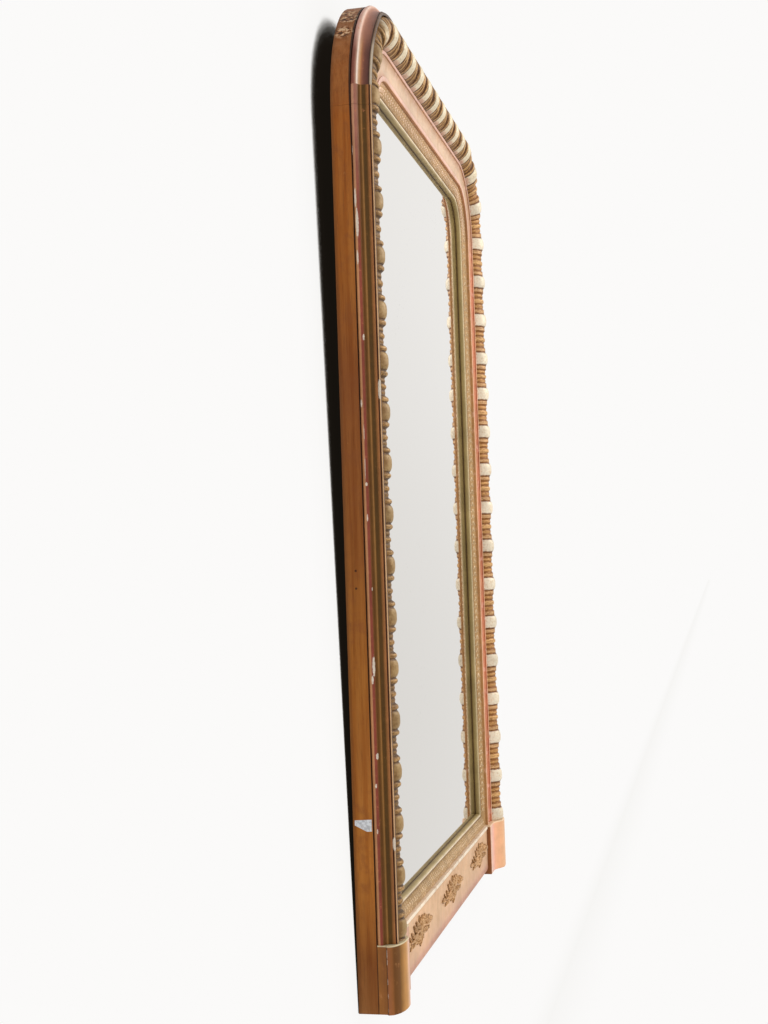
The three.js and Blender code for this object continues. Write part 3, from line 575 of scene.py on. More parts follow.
def edge_colours_with_painted_light(tree, place, across, rise):
    """Tan and rosy bole on the nose, dark olive cove, a cream line along the front fillet;
    round the corners the nose is paler and the cove browner. The light lines along the nose,
    in the cove and on the fillet are painted highlights, brightest round the corners, and
    the cove's dark middle is partly painted shade."""
    # painted highlights: the tan line on the nose, the lighter line in the cove and the cream
    # line on the fillet; the cove's darkest middle is partly painted shade
    side = ramp(tree, across, [
        (0.0, "#3a2010"), (0.04, "#8e5832"), (0.1, "#b07646"), (0.16, "#c48e64"),
        (0.195, "#8c4232"), (0.25, "#87402e"), (0.275, "#764820"), (0.36, "#6a4418"),
        (0.4, "#7e5522"), (0.44, "#a0703a"), (0.47, "#68430f"), (0.5, "#54380c"),
        (0.58, "#583a0e"), (0.62, "#8e5c2e"), (0.675, "#a56c3e"), (0.7, "#4a2412"),
        (0.775, "#43200f"), (0.79, "#d8a878"), (0.812, "#e6c092"), (0.83, "#5a3418"),
        (0.9, "#5c381c"), (1.0, "#3c2210")])
    # painted highlight: the near-white line along the nose round the corners
    corner = ramp(tree, across, [
        (0.0, "#33190e"), (0.05, "#5c2e20"), (0.12, "#7c4434"), (0.19, "#8e5646"),
        (0.24, "#b88c76"), (0.275, "#f6e6d6"), (0.32, "#f4e0cc"), (0.36, "#dcac84"),
        (0.41, "#c08454"), (0.46, "#9c6448"), (0.54, "#734638"), (0.64, "#5c3830"),
        (0.68, "#4a2c22"), (0.735, "#33201a"), (0.77, "#b8a288"), (0.81, "#e0d2be"),
        (0.84, "#4a3a2c"), (0.9, "#a8967c"), (1.0, "#4a3424")])
    # painted highlight: the pale line along the nose on the top
    upper = ramp(tree, across, [
        (0.0, "#33190e"), (0.05, "#743f2d"), (0.12, "#a87666"), (0.2, "#c89c8a"),
        (0.27, "#ecd0be"), (0.31, "#dcae98"), (0.36, "#b07c64"), (0.45, "#a06c58"),
        (0.6, "#8a5a48"), (0.68, "#6c4434"), (0.735, "#33201a"), (0.76, "#5c4434"),
        (0.81, "#8c7058"), (0.84, "#4a3526"), (0.9, "#604a3a"), (1.0, "#3c2a1e")])
    height = axes(tree, place)["Z"]
    joint = sums(tree, "GREATER_THAN", height, 0.54)
    turned = mixed(tree, stepped(tree, height, 0.585, 0.625), corner, upper)
    fade = stepped(tree, height, 0.34, 0.52, 0.0, 0.45)
    pale = mixed(tree, sums(tree, "MULTIPLY", fade, sums(tree, "LESS_THAN", across, 0.345)),
                 side, colour("#c08e7a"))
    return mixed(tree, joint, pale, turned)


edge_gilding = gilded("worn edge gilding", edge_colours_with_painted_light, "#b8724c", "#2e1a0a", "#d6cbba",
                      0.3, 0.1, 130.0)
for side, (start, end) in piece_ends.items():
    s = stations(start, end, 1.6)
    piece = swept(f"edge_{side}", edge_outline, s, sink=0.2)
    along, band = s[:, None], edge_outline[None, :, 2]
    bare = np.where(along < top_run, chipped_value(along, band, nose_chips + fillet_chips), 0.0)
    marked(piece, "bare", bare)
    risen(piece, edge_outline, [0, 0.2, 0.36, 0.5, 0.66, 0.72, 0.76, 0.85, 1],
          [0.1, 0.9, 0.15, 0.4, 0.6, 0.9, 0.1, 0.8, 0.7])
    sunk = np.zeros(bare.size * 3)
    piece.data.vertices.foreach_get("co", sunk)
    sunk[1::3] += chip_depth * np.clip(bare.ravel() * 2 - 1, 0, 1)
    piece.data.vertices.foreach_set("co", sunk)
    finished(piece, f"edge_moulding_{side}", edge_gilding)


# --- Torus ----------------------------------------------------------------------------
# The cross-reeded torus runs up the left side, round both corners and down the right.
# Geometry Nodes carves each length: a curve holds the rise and fall from the middle of a
# barrel to the middle of the reeds between two of them, and noise makes it uneven.
torus_edge = 14.3
torus_width = 45.4
torus_spring = face_depth + 10.8
torus_radius = 24.8
torus_slide = 1.6
barrel_crown = 21.9
valley_half = 21.4
valley_phase = 0.31
columns_round = 34


def evenly(start, end, pitch):
    return np.linspace(start, end, max(1, round((end - start) / pitch)) + 1)


barrels_left = np.concatenate([evenly(106, 937, 69.25), evenly(937, 1161, 74.7)[1:]])
barrels_top = evenly(top_run - 11, right_bend + 20, 65.8)
barrels_right = np.concatenate([evenly(right_run, right_run + 226, 75.5),
                                evenly(right_run + 295, path_end - foot_top - 11, 74.1)])
bend_left_barrels = evenly(barrels_left[-1], barrels_top[0], 68)[1:-1]
bend_right_barrels = evenly(barrels_top[-1], barrels_right[0], 72)[1:-1]
barrels = np.concatenate([
    [barrels_left[0] - 69.4], barrels_left, bend_left_barrels, barrels_top,
    bend_right_barrels, barrels_right, [barrels_right[-1] + 74]])
torus_ends = [foot_top, left_bend - 10.8, top_run, right_bend, right_run + 20.1,
              path_end - foot_top]


def reeding_phase(s):
    """0 in the middle of a barrel, 0.31 behind its ring and 0.5 in the middle of the reeds."""
    after = np.clip(np.searchsorted(barrels, s), 1, len(barrels) - 1)
    low, high = barrels[after - 1], barrels[after]
    distance = np.minimum(s - low, high - s)
    reeds = (high - low) / 2 - valley_half
    behind = valley_phase + (distance - valley_half) / reeds * (0.5 - valley_phase)
    return np.where(distance < valley_half, distance / valley_half * valley_phase, behind)


def phase_at(distance):
    return distance / valley_half * valley_phase


# rise of the carving over the springing, from the middle of a barrel outwards
reeding = [
    (0, 21.9), (phase_at(4), 21.8), (phase_at(6.8), 21.3), (phase_at(9), 20.5),
    (phase_at(11), 19.3), (phase_at(12), 18.4), (phase_at(13), 17.8), (phase_at(14), 18.6),
    (phase_at(15.3), 19.8), (phase_at(17.1), 20.3), (phase_at(18.8), 19.8),
    (phase_at(20.3), 18.4), (valley_phase, 16.6), (0.33, 15.4), (0.35, 15.0), (0.375, 15.8),
    (0.405, 15.5), (0.43, 14.7), (0.452, 15.7), (0.475, 17.1), (0.5, 17.5)]


def named(tree, name, data_type="FLOAT"):
    """A value that is marked on the points that a geometry tree works on."""
    node = add(tree, "GeometryNodeInputNamedAttribute", {"Name": name}, data_type=data_type)
    return node.outputs["Attribute"]


def real_and_painted(tree, geometry, material, result):
    """The end of a geometry tree."""
    real = add(tree, "GeometryNodeRealizeInstances", {"Geometry": geometry})
    painted = add(tree, "GeometryNodeSetMaterial",
                  {"Geometry": real.outputs[0], "Material": material})
    into(tree, painted.outputs[0], result)


def make_carving():
    """The tree that lifts a plain length by the curve."""
    tree, source, result = group(
        "cross reeding",
        [("Geometry", "Geometry"), ("Crown", "Float", 0.0219), ("Unevenness", "Float", 0.012),
         ("Cut Marks", "Float", 0.0004), ("Material", "Material")],
        [("Geometry", "Geometry")], "GeometryNodeTree")
    place = add(tree, "GeometryNodeInputPosition").outputs[0]
    slow = noise(tree, place, 90.0, 3.0)
    fine = noise(tree, place, 300.0, 4.0)
    drift = sums(tree, "MULTIPLY", sums(tree, "SUBTRACT", slow, 0.5), source["Unevenness"])
    phase = sums(tree, "ADD", named(tree, "phase"), drift)
    curve = add(tree, "ShaderNodeFloatCurve", {"Value": sums(tree, "MULTIPLY", phase, 2.0)})
    points = curve.mapping.curves[0].points
    curve.mapping.use_clip = False
    for index, (at, rise) in enumerate(reeding):
        value = rise / barrel_crown
        if index == 0:
            points[0].location = (0, value)
        elif index == len(reeding) - 1:
            points[-1].location = (1, value)
        else:
            points.new(at * 2, value)
    curve.mapping.update()
    fallen = sums(tree, "SUBTRACT", 1.0, curve.outputs[0])
    held = sums(tree, "MULTIPLY_ADD", fallen, named(tree, "held"), curve.outputs[0])
    lift = sums(tree, "MULTIPLY", held, source["Crown"])
    marks = sums(tree, "MULTIPLY", sums(tree, "SUBTRACT", fine, 0.5), source["Cut Marks"])
    whole = sums(tree, "MULTIPLY", sums(tree, "ADD", lift, marks), named(tree, "outward"))
    offset = add(tree, "ShaderNodeCombineXYZ", {"Y": sums(tree, "MULTIPLY", whole, -1.0)})
    moved = add(tree, "GeometryNodeSetPosition",
                {"Geometry": source["Geometry"], "Offset": offset.outputs[0]})
    real_and_painted(tree, moved.outputs[0], source["Material"], result[0])
    return tree


def grown(piece, tree, **values):
    """Runs a piece's nodes and keeps what they make as its plain mesh."""
    modifier = piece.modifiers.new(tree.name, "NODES")
    modifier.node_group = tree
    for item in tree.interface.items_tree:
        key = item.name.replace(" ", "_").lower()
        if item.in_out == "INPUT" and key in values:
            modifier[item.identifier] = values[key]
    depsgraph = bpy.context.evaluated_depsgraph_get()
    mesh = bpy.data.meshes.new_from_object(piece.evaluated_get(depsgraph),
                                           preserve_all_data_layers=True, depsgraph=depsgraph)
    piece.modifiers.clear()
    piece.data = mesh


def reeded(tree, place, across, barrel, groove, ring, valley, reed, crest, inner, inner_from):
    """Colours along the repeat, darkened in its grooves and valleys by painted shade, fine dark
    lines of painted shade across the reeds, and bole showing through on the side of the
    barrels towards the glass."""
    length = on_band(tree)["X"]
    wander = noise(tree, place, 170.0, 5.0, 0.6)
    moved = sums(tree, "MULTIPLY_ADD", sums(tree, "SUBTRACT", wander, 0.5), 0.05,
                 stored(tree, "phase"))
    # painted shade: the groove and valley colours are the dark of the low places
    along = ramp(tree, sums(tree, "MULTIPLY", moved, 2.0), [
        (0.0, barrel), (0.29, barrel), (0.35, groove), (0.4, groove), (0.44, ring),
        (0.55, ring), (0.61, valley), (0.67, valley), (0.71, reed), (0.78, reed),
        (0.83, valley), (0.88, valley), (0.93, crest), (1.0, crest)])
    # painted shade: fine dark lines across the reeds, between their ribs
    waved = sums(tree, "MULTIPLY_ADD", wander, 16.0, sums(tree, "MULTIPLY", length, 1300.0))
    rib_line_shade = stepped(tree, sums(tree, "SINE", waved), 0.35, 0.9, 0.0, 0.65)
    off_barrel = stepped(tree, moved, 0.15, 0.2)
    lined = mixed(tree, sums(tree, "MULTIPLY", rib_line_shade, off_barrel), along, colour(valley))
    blotch = noise(tree, place, 330.0, 3.0, 0.6)
    blotched = dabbed(tree, lined, reed, blotch, 0.5, 0.66, 0.4)
    edge = sums(tree, "MULTIPLY_ADD", sums(tree, "SUBTRACT", blotch, 0.5), 0.16, across)
    on_side = stepped(tree, edge, inner_from, inner_from + 0.08, 0.0, 0.8)
    return covered(tree, blotched, inner, on_side, stepped(tree, moved, 0.17, 0.13))


def torus_colours(tree, place, across, rise):
    """Bronzed olive on the left side and its corner, cream barrels on the top and right;
    the bole that shows is pinkish on the top and red down the right side. The left side's
    palette is darker partly as painted shade."""
    # painted shade: the left side's palette is partly darkened for the shade on that side
    near = reeded(tree, place, across, "#a5875a", "#4c3013", "#b8905c", "#50340e", "#8a6636",
                  "#a87f48", "#a88266", 0.86)
    # painted shade: darker brown low on its outer flank, beside the fillet
    patch = noise(tree, place, 75.0, 4.0, 0.65)
    flank_shade = sums(tree, "MULTIPLY_ADD", patch, 0.5, across)
    near = dabbed(tree, near, "#7c5428", flank_shade, 0.66, 0.46, 0.75)
    top = reeded(tree, place, across, "#e8dabc", "#47270e", "#c49a66", "#4c2a0e", "#a5773f",
                 "#c49a62", "#cc9c84", 0.8)
    far = reeded(tree, place, across, "#eadec6", "#6a3c18", "#cfa474", "#825020", "#c8955a",
                 "#d8aa70", "#c4684a", 0.88)
    ragged = sums(tree, "MULTIPLY_ADD", noise(tree, place, 120.0, 4.0, 0.6), 0.05,
                  axes(tree, place)["X"])
    beyond = mixed(tree, stepped(tree, ragged, 0.40, 0.46), top, far)
    return mixed(tree, stepped(tree, ragged, -0.385, -0.345), near, beyond)


carving = make_carving()
torus_gold = gilded("torus gilding", torus_colours, "#c08e64", "#43280f", "#ece0cc",
                    0.25, 0.26, 150.0)

spread = math.asin(torus_width / 2 / torus_radius)
turn = np.linspace(-spread, spread, columns_round + 1)
dome = torus_edge + torus_width / 2 + torus_radius * np.sin(turn)
outward = (np.cos(turn) - math.cos(spread)) / (1 - math.cos(spread))
torus_outline = np.concatenate([
    [[torus_edge, face_depth, 0.0], [torus_edge, face_depth + 5.4, 0.03]],
    np.stack([dome, np.full(len(turn), torus_spring), np.linspace(0.06, 0.94, len(turn))], 1),
    [[torus_edge + torus_width, face_depth + 5.4, 0.97],
     [torus_edge + torus_width, face_depth, 1.0]]])
outward = np.concatenate([[0, 0], outward, [0, 0]])
for index, side in enumerate(piece_ends):
    start = torus_ends[index]
    end = torus_ends[index + 1] - (0 if side == "right" else glue)
    s = stations(start, end, 0.9)
    piece = swept(f"torus_carved_{side}", torus_outline, s, slide=torus_slide)
    rows, columns = len(s), len(torus_outline)
    phase = np.repeat(reeding_phase(s), columns)
    marked(piece, "phase", phase)
    on_top = np.minimum(top_share(s), top_share(path_end - s))[:, None]
    outer = np.interp(torus_outline[:, 0], [torus_edge, torus_middle - 8, torus_middle + 4],
                      [1, 1, 0])[None, :]
    level = np.interp(phase, [at for at, _ in reeding], [rise for _, rise in reeding])
    # down the right side the carving is lower, and flat from one barrel to the next
    on_far = np.repeat(past_bend(s, right_bend), columns)
    flatter = np.where(phase < phase_at(13), 0.95, 0.97 * np.minimum(level, 17.2) / level)
    lowered = (1 - on_far * (1 - flatter)).reshape(rows, columns)
    marked(piece, "outward", outward[None, :] ** (1 - 0.35 * outer * on_top) * lowered)
    marked(piece, "held", 0.5 * outer * on_top)
    proud = np.clip((level - 13.6) / (barrel_crown - 13.6), 0, 1)
    marked(piece, "rise", proud * (0.35 + 0.65 * np.tile(outward, rows)))
    grown(piece, carving, crown=barrel_crown * 0.001, unevenness=0.012, cut_marks=0.0006,
          material=torus_gold)
    smoothed(piece, 60)
    stands_for(piece, f"torus_{side}")


# --- Hollow moulding ------------------------------------------------------------------
# A shallow hollow between two flat fillets, in the same five lengths. It is gilded over
# pink bole; its colours hold painted highlights along the fillets and warm painted light
# in its curve.
hollow_edge = 60.0
hollow_width = 44.5
hollow_from = hollow_edge + 6
hollow_to = hollow_edge + hollow_width - 7.5
outer_level = face_depth + 13.3
inner_level = face_depth + 12.1
share = np.linspace(0, 1, 21)
sagging = outer_level + (inner_level - outer_level) * share - 1.7 - 2.8 * 4 * share * (1 - share)
hollow_outline = refined(np.concatenate([
    [[hollow_edge, face_depth, 0.0], [hollow_edge, outer_level - 0.5, 0.06],
     [hollow_edge + 0.5, outer_level, 0.08], [hollow_from - 0.3, outer_level, 0.2],
     [hollow_from, outer_level - 0.3, 0.21]],
    np.stack([hollow_from + (hollow_to - hollow_from) * share, sagging, 0.24 + 0.52 * share], 1),
    [[hollow_to, inner_level - 0.3, 0.79], [hollow_to + 0.3, inner_level, 0.8],
     [hollow_edge + hollow_width - 0.5, inner_level, 0.93],
     [hollow_edge + hollow_width, inner_level - 0.5, 0.95],
     [hollow_edge + hollow_width, face_depth, 1.0]]]), 2.0)


def hollow_colours(tree, place, across, rise):
    """Pink fillets and a peach hollow on the top; warmer and redder down the sides. The paler
    pinks along the fillets are painted highlights.
    """
    # painted highlights: the paler pinks along both fillets on the top
    top = ramp(tree, across, [
        (0.0, "#7a4a30"), (0.07, "#c09078"), (0.1, "#dcb4a4"), (0.17, "#d2a696"),
        (0.205, "#c09474"), (0.24, "#b98a66"), (0.32, "#cba688"), (0.42, "#d7b89a"),
        (0.6, "#dabca0"), (0.7, "#d2ac90"), (0.775, "#cfa188"), (0.8, "#e6c0b0"),
        (0.9, "#deb29e"), (0.94, "#c89068"), (0.97, "#b07c50"), (1.0, "#a07048")])
    # painted highlights: the pink-white lines along both fillets down the sides
    side = ramp(tree, across, [
        (0.0, "#c07c58"), (0.07, "#d89e7c"), (0.12, "#efc2a2"), (0.18, "#dfa282"),
        (0.22, "#be6e4c"), (0.4, "#c6805c"), (0.6, "#cc8a68"), (0.7, "#c68062"),
        (0.76, "#e2a68c"), (0.84, "#ecbca2"), (0.89, "#d8a47c"), (0.93, "#c4905c"),
        (1.0, "#b08450")])
    whole = mixed(tree, stepped(tree, axes(tree, place)["Z"], 0.42, 0.60), side, top)
    blotch = noise(tree, place, 55.0, 5.0, 0.65)
    warm = dabbed(tree, whole, "#d0a078", blotch, 0.48, 0.66, 0.4)
    return dabbed(tree, warm, "#eec4b4", blotch, 0.46, 0.34, 0.35)


hollow_gold = gilded("gilding over pink bole", hollow_colours, "#cc9070", "#6a4022", "#f0e4d4",
                     0.28, 0.1, 70.0)
for side, (start, end) in piece_ends.items():
    piece = swept(f"hollow_{side}", hollow_outline, stations(start, end, 3.0))
    risen(piece, hollow_outline, [0, 0.08, 0.2, 0.24, 0.5, 0.76, 0.8, 0.93, 1],
          [0.1, 0.8, 0.8, 0.3, 0.6, 0.3, 0.8, 0.8, 0.1])
    finished(piece, f"hollow_moulding_{side}", hollow_gold)


# --- Sight moulding -------------------------------------------------------------------
# A sloping band of small cast leaves and a plain bead over the edge of the glass, on all
# four sides. Geometry Nodes sets one leaf motif after another along each length.
sight_start = 104.8
sight_edge = 129.5
sight_foot = 115.5
lip_back = 20.6
leaf_pitch = 12.0
leaf_raise = 1.5
band_from = 105.6
band_to = 123.4
band_middle = (band_from + band_to) / 2
band_drop = math.atan2(5.0, band_to - band_from)
band_level = 4.9
sight_outline = refined(np.concatenate([
    [[sight_start, face_depth, 0.0], [sight_start, face_depth + 7.3, 0.04],
     [sight_start + 0.7, face_depth + 7.6, 0.07], [114.5, face_depth + 5.4, 0.4],
     [123.0, face_depth + 2.2, 0.68], [123.6, face_depth + 2.0, 0.7]],
    round_points((126.85, 27.0), (2.65, 2.65), 150, 0, 8, 0.74, 0.94),
    [[sight_edge, lip_back, 0.98], [116.3, lip_back, -1.0], [116.3, face_depth, -1.0]]]), 2.5)


def ring_sides(rings, count, start=0, turned=False):
    """Faces between equal closed rings of points that follow one another in a list."""
    faces = []
    for ring in range(rings - 1):
        for i in range(count):
            a, b = start + ring * count + i, start + ring * count + (i + 1) % count
            faces.append((a, b, b + count, a + count) if turned else
                         (a, a + count, b + count, b))
    return faces


def ringed(points, rings, turned=False):
    """Points in equal closed rings, with the faces that make them one closed solid."""
    count = len(points) // rings
    caps = [tuple(range(count)), tuple(range(len(points) - count, len(points)))[::-1]]
    if turned:
        caps = [cap[::-1] for cap in caps]
    return points, ring_sides(rings, count, 0, turned) + caps


def ridge_leaf(base, heading, bow, length, breadth, height, rings=5):
    """A low closed ridge that curls: triangular sections along a bent line, on z = 0."""
    points = []
    for ring in range(rings):
        share = ring / (rings - 1)
        wide = breadth / 2 * (0.35 + 0.65 * math.sin(math.pi * min(1, share * 1.25 + 0.12)))
        wide = max(wide, breadth * 0.06)
        high = height * (0.55 + 0.45 * math.sin(math.pi * share)) * (1 - 0.35 * share)
        angle = heading + bow * share
        if abs(bow) > 1e-6:
            x = base[0] + length / bow * (math.sin(angle) - math.sin(heading))
            y = base[1] - length / bow * (math.cos(angle) - math.cos(heading))
        else:
            x = base[0] + length * share * math.cos(heading)
            y = base[1] + length * share * math.sin(heading)
        side = (-math.sin(angle) * wide, math.cos(angle) * wide)
        points += [(x + side[0], y + side[1], 0), (x, y, high), (x - side[0], y - side[1], 0)]
    return ringed(points, rings)


def gathered(parts):
    """Several point-and-face lists as one."""
    points, faces = [], []
    for part_points, part_faces in parts:
        faces += [tuple(i + len(points) for i in face) for face in part_faces]
        points += part_points
    return points, faces


def loose_object(name, points, faces):
    mesh = bpy.data.meshes.new(name)
    mesh.from_pydata(points, [], faces)
    made = bpy.data.objects.new(name, mesh)
    bpy.context.scene.collection.objects.link(made)
    return made


def leaf_motif():
    """Two curled leaves that part from a stalk, and a berry; x runs along the moulding."""
    band = (band_to - band_from) * 0.001
    pitch = leaf_pitch * 0.001
    raise_by = leaf_raise * 0.001
    parts = [
        ridge_leaf((-pitch * 0.3, 0), 0.9, -1.3, band * 0.52, band * 0.2, raise_by),
        ridge_leaf((-pitch * 0.3, 0), -0.9, 1.3, band * 0.52, band * 0.2, raise_by),
        ridge_leaf((-pitch * 0.5, 0), 0, 0, pitch * 0.98, band * 0.12, raise_by * 0.8, 4),
        ridge_leaf((pitch * 0.14, band * 0.3), 0.6, 0.8, band * 0.24, band * 0.14,
                   raise_by * 0.9, 4),
        ridge_leaf((pitch * 0.14, -band * 0.3), -0.6, -0.8, band * 0.24, band * 0.14,
                   raise_by * 0.9, 4)]
    return loose_object("leaf motif", *gathered(parts))


def make_leaf_band():
    """The tree that lays motifs on a line of points and joins them to the moulding."""
    tree, source, result = group(
        "leaves along a band",
        [("Geometry", "Geometry"), ("Motif", "Object"), ("Line", "Object"),
         ("Size Change", "Float", 0.08), ("Seed", "Int", 7), ("Material", "Material")],
        [("Geometry", "Geometry")], "GeometryNodeTree")
    motif = add(tree, "GeometryNodeObjectInfo", {"Object": source["Motif"]})
    line = add(tree, "GeometryNodeObjectInfo", {"Object": source["Line"]})
    low = sums(tree, "SUBTRACT", 1.0, source["Size Change"])
    high = sums(tree, "ADD", 1.0, source["Size Change"])
    size = add(tree, "FunctionNodeRandomValue",
               {2: low, 3: high, "Seed": source["Seed"]}, data_type="FLOAT").outputs[1]
    laid = add(tree, "GeometryNodeInstanceOnPoints",
               {"Points": line.outputs["Geometry"], "Instance": motif.outputs["Geometry"],
                "Rotation": named(tree, "turn", "FLOAT_VECTOR"), "Scale": size})
    tinted = add(tree, "GeometryNodeStoreNamedAttribute",
                 {"Geometry": laid.outputs[0], "Name": "leaf", "Value": 1.0},
                 data_type="FLOAT", domain="INSTANCE")
    joined = tree.nodes.new("GeometryNodeJoinGeometry")
    tree.links.new(source["Geometry"], joined.inputs[0])
    tree.links.new(tinted.outputs[0], joined.inputs[0])
    real_and_painted(tree, joined.outputs[0], source["Material"], result[0])
    return tree


def leaf_line(name, x, z, in_x, in_z):
    """Points down the middle of the band, with the turn that lays a motif's x along the
    moulding and its y across it; in_x and in_z point inwards."""
    zeros = np.zeros(len(x))
    level, down = math.cos(band_drop), math.sin(band_drop)
    centres = np.stack([x, zeros - (face_depth + band_level), z - case_height / 2], 1)
    across = np.stack([in_x * level, zeros + down, in_z * level], 1)
    along = np.stack([-in_z, zeros, in_x], 1)
    line = loose_object(name, (centres * 0.001).tolist(), [])
    turns = []
    for forward, sideways in zip(along, -across):
        out_of = Vector(forward).cross(Vector(sideways)).normalized()
        matrix = Matrix((forward, sideways, out_of)).transposed()
        turns.append(tuple(matrix.to_euler("XYZ")))
    made = line.data.attributes.new("turn", "FLOAT_VECTOR", "POINT")
    made.data.foreach_set("vector", np.array(turns, np.float32).ravel())
    return line


def sight_colours(tree, place, across, rise):
    """Tan leaves on a browner band, a cream bead, and olive tan down to the glass, where a
    painted shadow line runs along the lip's edge.
    """
    # painted shadow: the dark browns at the end of the band, where the lip meets the glass
    band = ramp(tree, across, [
        (0.0, "#b07848"), (0.05, "#d8b088"), (0.09, "#b48c5c"), (0.4, "#b08a5a"),
        (0.66, "#a88454"), (0.71, "#80602f"), (0.75, "#f0dcc0"), (0.82, "#f2e0c8"),
        (0.85, "#c8b48c"), (0.9, "#b8a478"), (0.93, "#b49c6c"), (0.965, "#9a8450"),
        (0.98, "#5a3c18"), (1.0, "#4a3014")])
    spots = noise(tree, place, 240.0, 4.0, 0.65)
    rosy = stepped(tree, axes(tree, place)["Z"], 0.45, 0.56, 0.0, 0.75)
    light = mixed(tree, rosy, colour("#ecd0ac"), colour("#fbdcc2"))
    dark = mixed(tree, rosy, colour("#c8a878"), colour("#e4b696"))
    gilt = mixed(tree, stepped(tree, spots, 0.44, 0.6), light, dark)
    pits = noise(tree, place, 460.0, 4.0, 0.7)
    return mixed(tree, stored(tree, "leaf"), band,
                 dabbed(tree, gilt, "#7c6034", pits, 0.57, 0.64, 0.6))


sight_gold = gilded("cast leaf gilding", sight_colours, "#c48e68", "#5a3c1c", "#ecdfcb",
                    0.25, 0.26, 220.0)
leaf_band = make_leaf_band()
motif = leaf_motif()


def mitred_foot(s, inset):
    """Slides the foot ends so that they meet the lower length in mitres."""
    shift = inset - sight_edge
    near = np.clip(1 - (s - sight_foot) / 60, 0, 1)
    far = np.clip(1 - (path_end - sight_foot - s) / 60, 0, 1)
    return shift * np.maximum(near, far)


def leafed(piece, line, node):
    """A length of the moulding gets its leaves, and the line of points goes."""
    risen(piece, sight_outline, [0, 0.06, 0.1, 0.66, 0.71, 0.76, 0.86, 0.93, 1],
          [0.1, 0.9, 0.3, 0.3, 0.05, 0.9, 0.8, 0.3, 0.1])
    marked(piece, "leaf", np.zeros(len(piece.data.vertices)))
    grown(piece, leaf_band, motif=motif, line=line, size_change=0.06, seed=7,
          material=sight_gold)
    smoothed(piece, 32)
    stands_for(piece, node)
    bpy.data.objects.remove(line)


sight_ends = dict(piece_ends)
sight_ends["left"] = (sight_foot, piece_ends["left"][1])
sight_ends["right"] = (piece_ends["right"][0], path_end - sight_foot)
for side, (start, end) in sight_ends.items():
    piece = swept(f"sight_{side}", sight_outline, stations(start, end, 3.0), mitred_foot)
    x, z, in_x, in_z = along_path(evenly(start + leaf_pitch / 2, end - leaf_pitch / 2,
                                         leaf_pitch))
    inward = band_middle - torus_middle
    leafed(piece, leaf_line(f"line_{side}", x + in_x * inward, z + in_z * inward, in_x, in_z),
           f"sight_moulding_{side}")

# the lower length has its sight edge at the height of the sill, and mitred ends
sill = 115.2
sill_shares = np.linspace(-1, 1, 260)[:, None]
piece = solid_of_rings(
    "sight_bottom", sill_shares * (half_width - sight_outline[:, 0] - glue),
    sight_outline[:, 1], sill + sight_outline[:, 0] - sight_edge, sight_outline[:, 2],
    sill_shares[:, 0] * (half_width - sight_edge) + half_width)
leaf_end = half_width - band_middle - leaf_pitch / 2
middle = evenly(-leaf_end, leaf_end, leaf_pitch)
inward_x, inward_z = np.zeros(len(middle)), np.ones(len(middle))
leafed(piece, leaf_line("line_bottom", middle, inward_z * (sill + band_middle - sight_edge),
                        inward_x, inward_z), "sight_moulding_bottom")
bpy.data.objects.remove(motif)


# --- Plinth blocks --------------------------------------------------------------------
# Two blocks under the side mouldings: round at the outer front edge, then easing back to a
# flat flange beside the frieze. The near block's edges are chipped to the gesso.
plinth_height = 90.2
plinth_width = 118
plinth_front = face_depth + 32.8
plinth_round = (40.5, 18.8)
flange = face_depth + 18.3
ease_from, ease_to = 44, 80
ease = np.linspace(0, 1, 15)[1:-1]
plinth_outline = refined(np.concatenate([
    [[0, face_depth, 0.0], [0, face_depth + 12.4, 0.1], [-1.5, face_depth + 12.7, 0.115],
     [-2.5, face_depth + 13.4, 0.13]],
    round_points((38, plinth_front - plinth_round[1]), plinth_round, 180, 90, 26, 0.18, 0.5),
    [[ease_from, plinth_front, 0.52]],
    np.stack([ease_from + (ease_to - ease_from) * ease,
              plinth_front + (flange - plinth_front) * (1 - np.cos(math.pi * ease)) / 2,
              0.52 + 0.23 * ease], 1),
    [[ease_to, flange, 0.76], [plinth_width - 0.4, flange, 0.97],
     [plinth_width, flange - 0.4, 0.98], [plinth_width, face_depth, 1.0]]]), 1.6)


def plinth_colours(bands, lip_colour):
    """Bands round the block, with painted shade and highlights in them; its back layer is
    stained like the case.
    """
    def base(tree, place, across, rise):
        along = ramp(tree, across, bands)
        grain = use(tree, "wood grain", {"Vector": place, "Fineness": 1.0})
        stain = dabbed(tree, colour("#98602a"), "#8a5428", grain["Streaks"], 0.38, 0.68)
        wooden = mixed(tree, sums(tree, "LESS_THAN", across, 0.098), along, stain)
        return dabbed(tree, wooden, lip_colour, axes(tree, place)["Z"], -0.6122, -0.6108)
    return base


# painted shade and highlight: the near block's bands darken in the middle of its round, brighten
# at its front and darken again at its inner end
near_foot = gilded("near plinth gilding", plinth_colours([
    (0.0, "#8a5428"), (0.095, "#7a4820"), (0.1, "#1e0f06"), (0.125, "#3a2010"),
    (0.135, "#a06c48"), (0.16, "#965a34"), (0.2, "#a0643a"), (0.24, "#965c2c"),
    (0.27, "#704416"), (0.34, "#744818"), (0.38, "#a06e2e"), (0.42, "#c08842"),
    (0.455, "#c8904a"), (0.485, "#d6a26c"), (0.51, "#e8bca0"), (0.6, "#ecc0ac"),
    (0.75, "#e4b498"), (0.96, "#d9a98c"), (1.0, "#a06a44")], "#dccba4"),
    "#b07648", "#2e1a0c", "#dcd2c0", 0.3, 0.12, 60.0)
